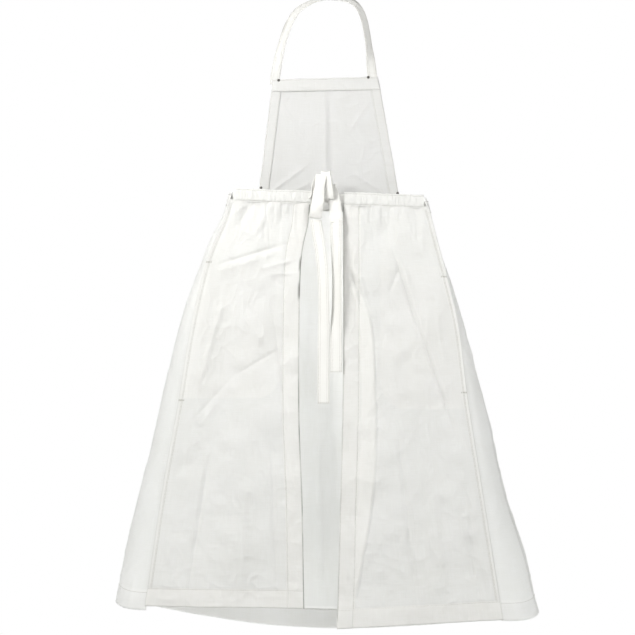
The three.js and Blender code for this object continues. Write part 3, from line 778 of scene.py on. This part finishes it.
def front_base(u, v):
    """The wrapped front without its folds, from the waist (v = 0) to its hem (v = 1): level at the waist,
    and at the hem a shallow arc that is lowest in the middle."""
    end = np.minimum(u, 1 - u)
    hem_x, _ = wrap(u, np.full(np.shape(u), -1.225))
    hem = -1.219 - 0.0256 * hem_x - 0.053 * (1 - (hem_x / 0.433) ** 2)
    back = ease(0.5, 0.0, end / SIDE_SHARE)
    hem = lerp(hem, -1.222 - 0.030 * (hem_x + 0.36), back)
    z = lerp(FRONT_TOP, hem, v)
    x, y = wrap(u, z)
    return np.stack([x, y, z + lean(x, z) * (1 - v)], -1)


def front_surface(u, v):
    """The wrapped front with its folds: broad ones that deepen towards the hem, a crease down the middle,
    fine gathers under the waist and small wrinkles."""
    base = front_base(u, v)
    x, y, z = base[..., 0], base[..., 1], base[..., 2]
    low = np.clip(v, 0, 1)
    place = (u - 0.5) * 1.15
    sides = ease(SIDE_SHARE, 0.5 * SIDE_SHARE, np.minimum(u, 1 - u))
    depth = 0.010 * low**1.5 * noise(place, z, 0.11, 51) * (1 - 0.65 * sides)
    depth = depth + 0.004 * low * noise(place, z * 0.3, 0.045, 52) * (1 - 0.5 * sides)
    depth = depth + 0.0016 * crumple(place, z, 0.035, 53) + 0.0006 * crumple(place, z, 0.012, 54)
    depth = depth + 0.0014 * np.exp(-low / 0.04) * noise(place, z * 0.2, 0.007, 55)
    depth = depth + 0.004 * np.exp(-low / 0.10) * noise(place, z * 0.2, 0.024, 56) * (1 - sides)
    depth = folded(depth, place, z, [
        ((-0.008, -0.80), (0.004, -1.28), 0.006, -0.0050), ((0.022, -0.62), (0.010, -1.10), 0.010, 0.0040),
        ((-0.045, -0.50), (-0.030, -0.90), 0.010, -0.0040),
    ])
    roll = (1 - u) / SIDE_SHARE - 0.405
    depth = depth - 0.0050 * np.exp(-((roll / 0.020) ** 2)) * ease(0.45, 0.60, v)
    depth = depth * ease(0.0, 0.035, np.minimum(u, 1 - u)) * ease(-0.002, 0.02, v)
    return lifted(front_base, u, v, depth)


def on_skirt(made, *nodes, slot="cloth"):
    """Ties a piece to the skirt, in place of the CAD nodes that it names."""
    if nodes:
        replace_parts(made, *nodes)
    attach(made, "skirt")
    return made


FRONT_SIZE = (1.18, 0.88)
across_front = np.linspace(0, 1, 261)
front_rows = np.concatenate([np.linspace(0, 0.08, 14)[:-1], np.linspace(0.08, 1, 165)])
in_hem = np.broadcast_to(front_rows[:, None] > 1 - 0.045, (len(front_rows), len(across_front)))
at_side = 0.5 * ease(SIDE_SHARE, 0.6 * SIDE_SHARE, np.minimum(across_front, 1 - across_front))[None]
# The front is painted whiter towards its top, through the doubled value, as light on it inside the opening.
painted_top_light = 0.9 * (1 - front_rows)[:, None]
# A painted shadow runs down the lower part of the fold near the right side, over the shallow groove there.
roll = (1 - across_front) / SIDE_SHARE - 0.405
painted_crease_shade = np.exp(-((roll / 0.035) ** 2)) * ease(0.40, 0.55, front_rows)[:, None]
painted_crease_shade = 0.18 * painted_crease_shade
front = patch(
    "front_skirt_panel", front_surface, across_front, front_rows, 0.0, 0.0007, FRONT_SIZE, lit_front_cloth,
    doubled=np.maximum(np.where(in_hem, 1.0, at_side), painted_top_light), shade_and_soil=painted_crease_shade,
)
on_skirt(front, "front_skirt_panel")

inner_u = np.linspace(0.004, 0.996, 260)
hem_rows = np.linspace(1 - 0.0445, 0.9985, 14)
front_hem = patch(
    "front_hem_facing", front_surface, inner_u, hem_rows, -0.0009, 0.0007, FRONT_SIZE, lit_front_cloth,
    doubled=1.0,
)
on_skirt(front_hem, "front_hem_facing", slot="doubled_cloth")
for lift in (0.0005, -0.0014):
    on_skirt(sewn_line("front_hem_stitches", front_surface, inner_u, 1 - 0.042, lift), slot="tape")
for name, lift in (("waistband_front", 0.0010), ("waistband_lining", -0.0010)):
    band = patch(
        name, front_surface, inner_u, np.linspace(0.008, 0.038, 10), lift, 0.0008, FRONT_SIZE, facing_cloth
    )
    on_skirt(band, name, slot="doubled_cloth")
for v in (0.0100, 0.0362):
    on_skirt(sewn_line("waistband_stitches", front_surface, inner_u, v, 0.0015), slot="tape")

# ---------------------------------------------------------------- back panels
# Two narrower panels cover the back and leave an opening down the middle. Each is faced inside along the
# opening and hemmed at the bottom, gathered under the casing and sewn to the front at its side seam.

OPENING = {
    "left": side_line([
        (-0.395, -0.033), (-0.450, -0.037), (-0.525, -0.051), (-0.664, -0.055), (-0.844, -0.055),
        (-1.004, -0.049), (-1.240, -0.045),
    ]),
    "right": side_line([
        (-0.395, 0.032), (-0.600, 0.032), (-0.804, 0.031), (-1.004, 0.026), (-1.280, 0.019),
    ]),
}
PANEL_TOP = -0.410
HEM_AT = {"left": (-1.2185, -1.2140), "right": (-1.2600, -1.2415)}
SEAM_LAP = 0.004
FACING_WIDTH = 0.034
HEM_HIGH = 0.038


# The flat pleat's two edges, as x by height.
PLEAT = [
    side_line([
        (-0.540, 0.034), (-0.578, 0.047), (-0.640, 0.062), (-0.800, 0.068), (-1.000, 0.060), (-1.250, 0.048),
    ]),
    side_line([
        (-0.540, 0.040), (-0.578, 0.060), (-0.650, 0.088), (-0.800, 0.097), (-0.940, 0.096),
        (-1.050, 0.084), (-1.130, 0.069), (-1.250, 0.050),
    ]),
]


def pleat_share(x, z):
    """1 on the flat pleat down the right panel, which widens below its top and narrows to nothing."""
    ends = ease(-0.565, -0.590, z) * ease(-1.235, -1.170, z)
    return ease(-0.003, 0.003, x - PLEAT[0](z)) * ease(0.0026, -0.0026, x - PLEAT[1](z)) * ends


def back_relief(side, x, z):
    """How far the panel's cloth stands towards the viewer: gathers that fade below the casing, broad soft
    folds, a pleat or long creases by side, and small wrinkles."""
    below = np.maximum(PANEL_TOP - z, 0)
    seed = 60 if side == "left" else 80
    relief = 0.0021 * np.exp(-below / 0.040) * noise(x, z * 0.15, 0.0050, seed)
    relief = relief + 0.0038 * np.exp(-below / 0.090) * noise(x, z * 0.2, 0.015, seed + 1)
    relief = relief + 0.0065 * ease(0, 0.25, below) * noise(x, z * 0.25, 0.075, seed + 2)
    relief = relief + 0.0030 * noise(x, z, 0.060, seed + 3) + 0.0019 * noise(x, z, 0.026, seed + 4)
    relief = relief + 0.0026 * crumple(x, z * 0.7, 0.034, seed + 5)
    relief = relief + 0.0013 * crumple(x, z * 0.6, 0.014, seed + 7)
    relief = relief + 0.0006 * crumple(x, z, 0.0065, seed + 11)
    relief = relief + 0.0016 * crumple(x * 0.45, z, 0.017, seed + 14) * ease(-0.85, -1.18, z)
    if side == "left":
        relief = folded(relief, x, z, [
            ((-0.128, -0.385), (-0.190, -0.480), 0.017, -0.0085),
            ((-0.100, -0.400), (-0.150, -0.490), 0.010, 0.0040),
            ((-0.068, -0.490), (-0.238, -0.545), 0.0034, -0.0034),
            ((-0.064, -0.498), (-0.225, -0.556), 0.0070, 0.0020),
            ((-0.060, -0.525), (-0.135, -0.545), 0.0034, 0.0028),
            ((-0.058, -0.552), (-0.120, -0.556), 0.0030, 0.0024),
            ((-0.175, -0.745), (-0.300, -0.880), 0.0040, -0.0013),
            ((-0.190, -0.775), (-0.290, -0.900), 0.0070, 0.0010),
            ((-0.090, -0.700), (-0.190, -0.760), 0.0036, -0.0024),
            ((-0.110, -0.620), (-0.075, -0.860), 0.0050, -0.0030),
            ((-0.205, -0.600), (-0.262, -0.800), 0.007, 0.0034),
            ((-0.112, -0.860), (-0.100, -1.230), 0.006, -0.0034),
            ((-0.160, -0.950), (-0.175, -1.240), 0.012, 0.0045),
            ((-0.230, -0.880), (-0.285, -1.240), 0.006, -0.0040),
        ])
    else:
        pleat = pleat_share(x, z)
        relief = relief + 0.0034 * pleat - 0.0012 * ridge(x, z, (0.099, -0.600), (0.091, -1.060), 0.005, 1.0)
        relief = folded(relief, x, z, [
            ((0.044, -0.540), (0.074, -0.615), 0.0034, -0.0050),
            ((0.052, -0.530), (0.086, -0.610), 0.0060, 0.0040),
            ((0.128, -0.490), (0.188, -0.680), 0.0034, -0.0034),
            ((0.140, -0.490), (0.200, -0.690), 0.0070, 0.0030),
            ((0.178, -0.640), (0.262, -0.890), 0.0034, -0.0034),
            ((0.150, -0.520), (0.120, -0.600), 0.0060, -0.0026),
            ((0.060, -0.900), (0.044, -1.270), 0.010, 0.0040),
            ((0.140, -0.860), (0.185, -1.260), 0.006, -0.0042),
            ((0.205, -0.900), (0.235, -1.260), 0.012, 0.0040),
            ((0.270, -0.960), (0.305, -1.260), 0.006, -0.0034),
        ])
    seam, edge = SEAM[side](z), OPENING[side](z)
    relief = relief * ease(0.0, 0.030, np.abs(seam - x)) * ease(-0.003, 0.013, below)
    from_edge = np.abs(x - edge)
    for line, deep in ((0.0022, 0.0004), (FACING_WIDTH - 0.002, 0.0011)):
        off = from_edge - line
        relief = relief - deep * np.exp(-((off / 0.0011) ** 2))
        relief = relief + 0.6 * deep * noise(z, 0.6, 0.0045, seed + 12) * np.exp(-((off / 0.006) ** 2))
    hem_line = lerp(HEM_AT[side][0], HEM_AT[side][1], from_edge / 0.31) + HEM_HIGH
    relief = relief - 0.0010 * np.exp(-(((z - hem_line + 0.002) / 0.0016) ** 2))
    relief = relief + 0.0006 * noise(x, 0.2, 0.0045, seed + 13) * np.exp(-(((z - hem_line) / 0.008) ** 2))
    lap = np.abs(seam - x) - 0.0075
    relief = relief - 0.0007 * np.exp(-((lap / 0.0012) ** 2))
    curl = 0.0045 * noise(z, 0.3, 0.040, seed + 9) * ease(0.030, 0.0, from_edge) * ease(0, 0.05, below)
    return relief + curl


def back_panel(side):
    """The panel's middle layer: u runs from left to right and v down. It follows the skirt's back, from the
    opening's edge to the side seam, which it laps a little."""

    def surface(u, v):
        """Even steps from the opening's line to the seam's and from the waist to the hem's line, on the
        skirt's back with the relief taken off its depth."""
        from_edge = u if side == "right" else 1 - u
        hem = lerp(HEM_AT[side][0], HEM_AT[side][1], from_edge)
        z = lerp(PANEL_TOP, hem, v)
        seam = SEAM[side](z) + (SEAM_LAP if side == "right" else -SEAM_LAP)
        x = lerp(OPENING[side](z), seam, from_edge)
        y = back_y(z) - back_relief(side, x, z)
        y = y - 0.0012 * ease(0.006, 0.0, np.abs(seam - x))
        return np.stack([x, y, z + lean(x, z) * (1 - v) ** 2], -1)

    return surface


def on_panel(made, side, *nodes, slot="cloth"):
    """Hides the CAD nodes that a piece replaces and bakes its place into its mesh."""
    if nodes:
        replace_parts(made, *nodes)
    sign = -1 if side == "left" else 1
    start, end = (sign * 0.135, -0.05, -0.470), (-sign * 0.060, -0.05, -0.745)
    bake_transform(made)
    return made


def pocket_share(side, x, z):
    """How much whiter the panel looks where layers of the pocket and the hip lie behind it: down to the
    bag's bottom, with rounded lower corners, and fading out towards the opening."""
    inner = 0.088 if side == "left" else 0.104
    bottom = -0.800 if side == "left" else -0.822
    edge = inner + 0.055 * (1 - np.sqrt(1 - np.clip((bottom + 0.06 - z) / 0.061, 0, 1) ** 2))
    above = ease(-0.539, -0.536, z)
    return lerp(0.62, 0.36, above) * ease(-0.001, 0.002, z - bottom) * ease(-0.002, 0.006, np.abs(x) - edge)


PANEL_SIZE = (0.315, 0.83)
for side in ("left", "right"):
    surface = back_panel(side)
    wide = np.abs(SEAM[side](-1.2) - OPENING[side](-1.2))
    rows = np.concatenate([np.linspace(0, 0.10, 45)[:-1], np.linspace(0.10, 1, 265)])[:, None]

    def from_edge(metres, v):
        """The share across the panel that lies some way in from the opening's edge, at each height."""
        z = lerp(PANEL_TOP, HEM_AT[side][0], v)
        share = metres / (np.abs(SEAM[side](z) - OPENING[side](z)) + SEAM_LAP)
        return share if side == "right" else 1 - share

    stitched = FACING_WIDTH - 0.002
    steps = [np.linspace(0, 0.004, 5), np.linspace(0.0055, stitched - 0.0035, 13)]
    steps += [stitched + np.linspace(-0.002, 0.002, 7), np.linspace(stitched + 0.0035, 0.045, 5)]
    near = from_edge(np.concatenate(steps)[None], rows)
    last, seam_share = near[:, -1:], (1.0 if side == "right" else 0.0)
    spread = np.linspace(0, 1, 103)[None, 1:]
    across = np.concatenate([near, lerp(last, seam_share, spread)], 1)
    across = across if side == "right" else across[:, ::-1]
    down = np.broadcast_to(rows, across.shape)
    at = surface(across, down)
    from_opening = np.abs(at[..., 0] - OPENING[side](at[..., 2]))
    hem_share = HEM_HIGH / 0.83
    faced = ease(FACING_WIDTH + 0.0015, FACING_WIDTH - 0.0005, from_opening)
    hemmed = ease(1 - hem_share - 0.001, 1 - hem_share + 0.001, down)
    lapped = ease(0.006, 0.004, np.abs(SEAM[side](at[..., 2]) - at[..., 0]))
    bag = pocket_share(side, at[..., 0], at[..., 2])
    pleated = 0.9 * pleat_share(at[..., 0], at[..., 2]) * (side == "right")
    layers = np.maximum.reduce([faced, hemmed, lapped * 0.5, bag, pleated])
    height = at[..., 2]
    # The opening's edge is painted dark in streaks, as the edge's shadow and as soil along it, most on the
    # left; the panel's bottom edge is painted a little dark too.
    streak = 0.35 + 0.65 * np.clip(noise(height, 0.4, 0.030, 160) + 0.25, 0, 1)
    streak = np.maximum(streak, 0.95 * ease(-0.505, -0.520, height) * ease(-0.606, -0.592, height))
    edge_shade_and_soil = ease(0.0024, 0.0006, from_opening) * streak * (0.90 if side == "left" else 0.35)
    # Dark tone stands for the shade where the edge curls up, as well as for soil along it.
    lifts = np.exp(-(((height + 0.533) / 0.013) ** 4)) + np.exp(-(((height + 0.586) / 0.017) ** 4))
    lifts = lifts * ease(0.0060, 0.0020, from_opening) * (0.85 if side == "left" else 0.0)
    edge_shade_and_soil = np.maximum.reduce([edge_shade_and_soil, lifts, 0.22 * ease(0.998, 1.0, down)])
    panel = patch(
        "back_panel_" + side, surface, across, rows, 0.0, 0.0007, PANEL_SIZE, skirt_cloth,
        doubled=layers, shade_and_soil=edge_shade_and_soil,
    )
    on_panel(panel, side, "back_panel_" + side)

    rows = np.linspace(0.006, 1 - hem_share - 0.001, 240)[:, None]
    strip = from_edge(np.linspace(0.0012, FACING_WIDTH, 14)[None], rows)
    strip = strip if side == "right" else strip[:, ::-1]
    facing = patch("opening_facing_" + side, surface, strip, rows, 0.0010, 0.0007, PANEL_SIZE, facing_cloth)
    on_panel(facing, side, "opening_facing_" + side, slot="doubled_cloth")
    hem_rows = np.linspace(1 - hem_share, 0.9985, 14)
    hem_columns = np.linspace(0.015, 0.985, 100)
    hem = patch(
        "back_hem_facing_" + side, surface, hem_columns, hem_rows, 0.0010, 0.0007, PANEL_SIZE, facing_cloth
    )
    on_panel(hem, side, "back_hem_facing_" + side, slot="doubled_cloth")

    run = np.linspace(0.008, 1 - hem_share, 300)
    for metres in (0.0022, FACING_WIDTH - 0.002):
        line = from_edge(metres, run)
        on_panel(sewn_line("opening_stitches", surface, line, run, -0.0005), side, slot="tape")
    row = np.linspace(0.004, 0.996, 160)
    on_panel(sewn_line("hem_stitches", surface, row, 1 - hem_share + 0.0025, -0.0005), side, slot="tape")
    for metres in (0.0065, 0.0085):
        z = lerp(PANEL_TOP, HEM_AT[side][1], run)
        share = 1 - (metres + SEAM_LAP - 0.004) / (np.abs(SEAM[side](z) - OPENING[side](z)) + SEAM_LAP)
        share = share if side == "right" else 1 - share
        on_panel(sewn_line("seam_stitches", surface, share, run, -0.0005), side, slot="tape")

# ---------------------------------------------------------------- pockets
# A bag of two layers of the same cloth hangs inside each side seam, and shows faintly through the back
# panel. Its mouth is the seam left open, with a short dense bar of stitches at each end.

for side in ("left", "right"):
    sign = -1 if side == "left" else 1
    inner = 0.088 if side == "left" else 0.104
    top, bottom = (-0.536, -0.799) if side == "left" else (-0.541, -0.821)

    def bag_layer(lift, swell):
        """One layer of the bag: u runs from the seam to the inner edge, whose lower corner is rounded."""

        def layer(u, v):
            """Level rows out to a quarter ellipse at the corner, swollen by a rounded half sine each way."""
            z = lerp(top, bottom, v)
            corner = 0.055 * (1 - np.sqrt(1 - np.clip((bottom + 0.06 - z) / 0.061, 0, 1) ** 2))
            inward = 1 - u if side == "right" else u
            x = lerp(SEAM[side](z) - sign * 0.010, sign * (inner + corner), inward)
            bulge = swell * np.sin(math.pi * np.clip(v, 0, 1)) ** 0.7
            bulge = bulge * np.sin(math.pi * np.clip(inward, 0, 1)) ** 0.7
            wrinkle = 0.0012 * noise(x, z, 0.03, 101) * np.sin(math.pi * np.clip(v, 0, 1))
            y = back_y(z) - back_relief(side, x, z) + lift + bulge + (wrinkle if swell else 0.0)
            return np.stack([x, y, z], -1)

        return layer

    columns, rows = np.linspace(0, 1, 60), np.linspace(0, 1, 90)
    bag_size = (0.17, 0.27)
    for name, lift, swell in (("back", 0.0022, 0.0), ("front", 0.0036, 0.009)):
        full = "pocket_bag_" + name + "_" + side
        bag = patch(
            full, bag_layer(lift, swell), columns, rows, 0.0, 0.0007, bag_size, skirt_cloth, doubled=0.4
        )
        on_panel(bag, side, full)

    surface = back_panel(side)
    for height in (-0.552 if side == "right" else -0.534, -0.786 if side == "right" else -0.806):
        for k in range(7):
            z = height + (k - 3) * 0.00042
            v = (PANEL_TOP - z) / (PANEL_TOP - HEM_AT[side][1])
            wide = np.abs(SEAM[side](z) - OPENING[side](z)) + SEAM_LAP
            share = 1 - np.linspace(0.0005, 0.0125, 10) / wide
            share = share if side == "right" else 1 - share
            bar = sewn_line("pocket_bar", surface, share, np.full(10, v), -0.0006)
            on_panel(bar, side, slot="tape")

# ---------------------------------------------------------------- casings and waist ties
# A flat tube of folded cloth runs along the top of each back panel. The waist tie is drawn through it,
# which gathers the casing into fine upright puckers between its two rows of stitches.

CASING_MIDDLE = -0.401
CASING_TALL = 0.0265
CASING_INNER = {"left": -0.030, "right": 0.034}
CASING_OUTER = {"left": -0.1875, "right": 0.1930}


def casing_surface(side):
    """The casing: u runs round its flat oval section and v from its inner end to its outer end. Puckers are
    upright, finer and deeper near the stitches, and fade towards the side."""
    low, high = sorted((CASING_INNER[side], CASING_OUTER[side]))
    seed = 120 if side == "left" else 130

    def surface(u, v):
        """A squared ellipse upright at each place along x, with its depth swollen by the puckers."""
        x = lerp(low, high, v)
        angle = 2 * math.pi * u
        tall = CASING_TALL / 2 * (1 + 0.03 * noise(x, 0.2, 0.006, seed))
        round_y = np.sign(np.cos(angle)) * np.abs(np.cos(angle)) ** 0.8
        up = np.sign(np.sin(angle)) * np.abs(np.sin(angle)) ** 0.8
        fine = noise(x, up * 0.004, 0.0030, seed + 1)
        broad = noise(x, up * 0.006, 0.010, seed + 2)
        swell = 0.0024 + 0.0011 * fine + 0.0008 * broad - 0.0011 * np.exp(-((up + 0.78) / 0.10) ** 2)
        swell = (swell - 0.0007 * np.exp(-((up - 0.80) / 0.10) ** 2)) * lerp(0.25, 1.0, ease(-1.0, -0.6, up))
        taper = ease(0.0, 0.03, np.abs(x - CASING_OUTER[side]))
        y = back_y(CASING_MIDDLE) - round_y * swell * lerp(0.45, 1.0, taper)
        z = CASING_MIDDLE + up * tall + lean(x, CASING_MIDDLE) + 0.0005 * noise(x, 0.8, 0.008, seed + 3)
        return np.stack(np.broadcast_arrays(x, y, z), -1)

    return surface


for side in ("left", "right"):
    surface = casing_surface(side)
    around = np.linspace(0, 1, 56, endpoint=False)
    along = np.linspace(0, 1, 330)[:, None]
    u, v = np.broadcast_arrays(around, along)
    points = surface(u, v)
    measure = np.stack([v * 0.30, u * 0.07], -1)
    made = shell("casing_" + side, points, 0.0008, measure, facing_cloth, doubled=0.0, closed=True)
    on_skirt(made, "casing_" + side, slot="doubled_cloth")
    run = np.linspace(0.004, 0.996, 400)
    for height in (-0.78, 0.80):
        angle = math.asin(abs(height) ** 1.25) / (2 * math.pi)
        u = np.full(400, angle if height > 0 else 1 - angle)
        path = surface(u, run) + np.array([0, -0.0007, 0])
        facing = np.tile([0.0, -1.0, 0.0], (400, 1))
        on_skirt(stitches("casing_stitches", path, facing, pitch=0.0022), slot="tape")

TIE = back_y(CASING_MIDDLE)
for side, sign in (("left", -1), ("right", 1)):
    x = np.linspace(sign * 0.170, -sign * 0.008, 90)
    sag = 0.0008 * noise(x, 0.1, 0.02, 140) + sign * 0.0011
    centre = np.stack([x, TIE + sag, CASING_MIDDLE + lean(x, CASING_MIDDLE)], -1)
    across = np.tile([0.0, 0.0, 1.0], (90, 1))
    tie = tape("waist_tie_" + side, centre, across, 0.0195, 0.0015, cols=11)
    on_skirt(tie, "waist_tie_" + side, slot="tape")

# ---------------------------------------------------------------- knot
# The ties are knotted once at the middle of the back, with a short loop of one tie drawn up through the
# knot. The left tie folds down over the knot, and the right one turns down behind it.

KY = float(KNOT[1])


def squared(across, centre):
    """Turns the directions across a line of points square to the line."""
    ahead = unit(np.gradient(centre, axis=0))
    return unit(across - ahead * np.sum(across * ahead, -1, keepdims=True))


FRONT_FOLD = [
    (-0.036, KY + 0.0118, -0.399), (-0.027, KY + 0.0060, -0.387), (-0.0185, KY + 0.0010, -0.371),
    (-0.0125, KY - 0.0045, -0.3565), (-0.0120, KY - 0.0085, -0.3600), (-0.0145, KY - 0.0100, -0.376),
    (-0.0172, KY - 0.0106, -0.398), (-0.0195, KY - 0.0103, -0.415), (-0.0220, KY - 0.0082, -0.431),
    (-0.0232, KY - 0.0040, -0.4395), (-0.0232, KY + 0.0015, -0.4365),
]
centre = through(FRONT_FOLD, 120)
share = np.linspace(0, 1, 120)
lay = np.radians(lerp(55, 0, ease(0.04, 0.34, share)) + 14 * noise(share, 0.4, 0.12, 153))
tip = 0.35 * noise(share, 0.8, 0.11, 154)
across = np.stack([np.cos(lay), tip, np.sin(lay)], -1)
across = squared(across, centre)
width = lerp(0.0205, 0.0265, ease(0.50, 0.95, share)) + 0.0015 * noise(share, 0.1, 0.10, 156)
crown = 0.0035 + 0.0040 * noise(share, 0, 0.085, 150)
knot = tape("tie_knot", centre, across, width, 0.0018, crown=crown, cols=21)
on_skirt(knot, "tie_knot", slot="tape")

RIGHT_TURN = [
    (0.0055, KY + 0.0085, -0.377), (0.0105, KY + 0.0065, -0.391), (0.0145, KY + 0.0048, -0.408),
    (0.0168, KY + 0.0034, -0.424), (0.0180, KY + 0.0018, -0.438), (0.0186, KY + 0.0003, -0.450),
]
centre = through(RIGHT_TURN, 80)
share = np.linspace(0, 1, 80)
lay = np.radians(lerp(24, 0, ease(0.1, 0.9, share)))
across = np.stack([np.cos(lay), -0.25 * ease(0.7, 0.0, share), np.sin(lay)], -1)
across = squared(across, centre)
turn_crown = 0.002 + 0.004 * noise(share, 0, 0.15, 152)
turned_down = tape("tie_turn", centre, across, 0.0245, 0.0017, crown=turn_crown, cols=17)
on_skirt(turned_down, slot="tape")

BOW = [
    (0.0030, KY - 0.0005, -0.4020), (0.0030, KY - 0.0050, -0.3900), (0.0015, KY - 0.0078, -0.3740),
    (-0.0010, KY - 0.0080, -0.3600), (-0.0025, KY - 0.0030, -0.3505), (-0.0010, KY + 0.0050, -0.3520),
    (0.0020, KY + 0.0085, -0.3650), (0.0040, KY + 0.0078, -0.3820), (0.0050, KY + 0.0045, -0.3980),
]
centre = through(BOW, 120)
share = np.linspace(0, 1, 120)
turn_out = np.radians(lerp(12, 40, np.sin(math.pi * share)))
across = np.stack([np.cos(turn_out), -np.sin(turn_out), -0.15 * np.sin(math.pi * share)], -1)
across = squared(across, centre)
bow_crown = 0.0030 * np.sin(math.pi * share) + 0.0035 * noise(share, 0.2, 0.12, 155)
bow = tape("tie_bow_loop", centre, across, 0.0205, 0.0016, crown=bow_crown, cols=17)
on_skirt(bow, "tie_bow_loop", slot="tape")
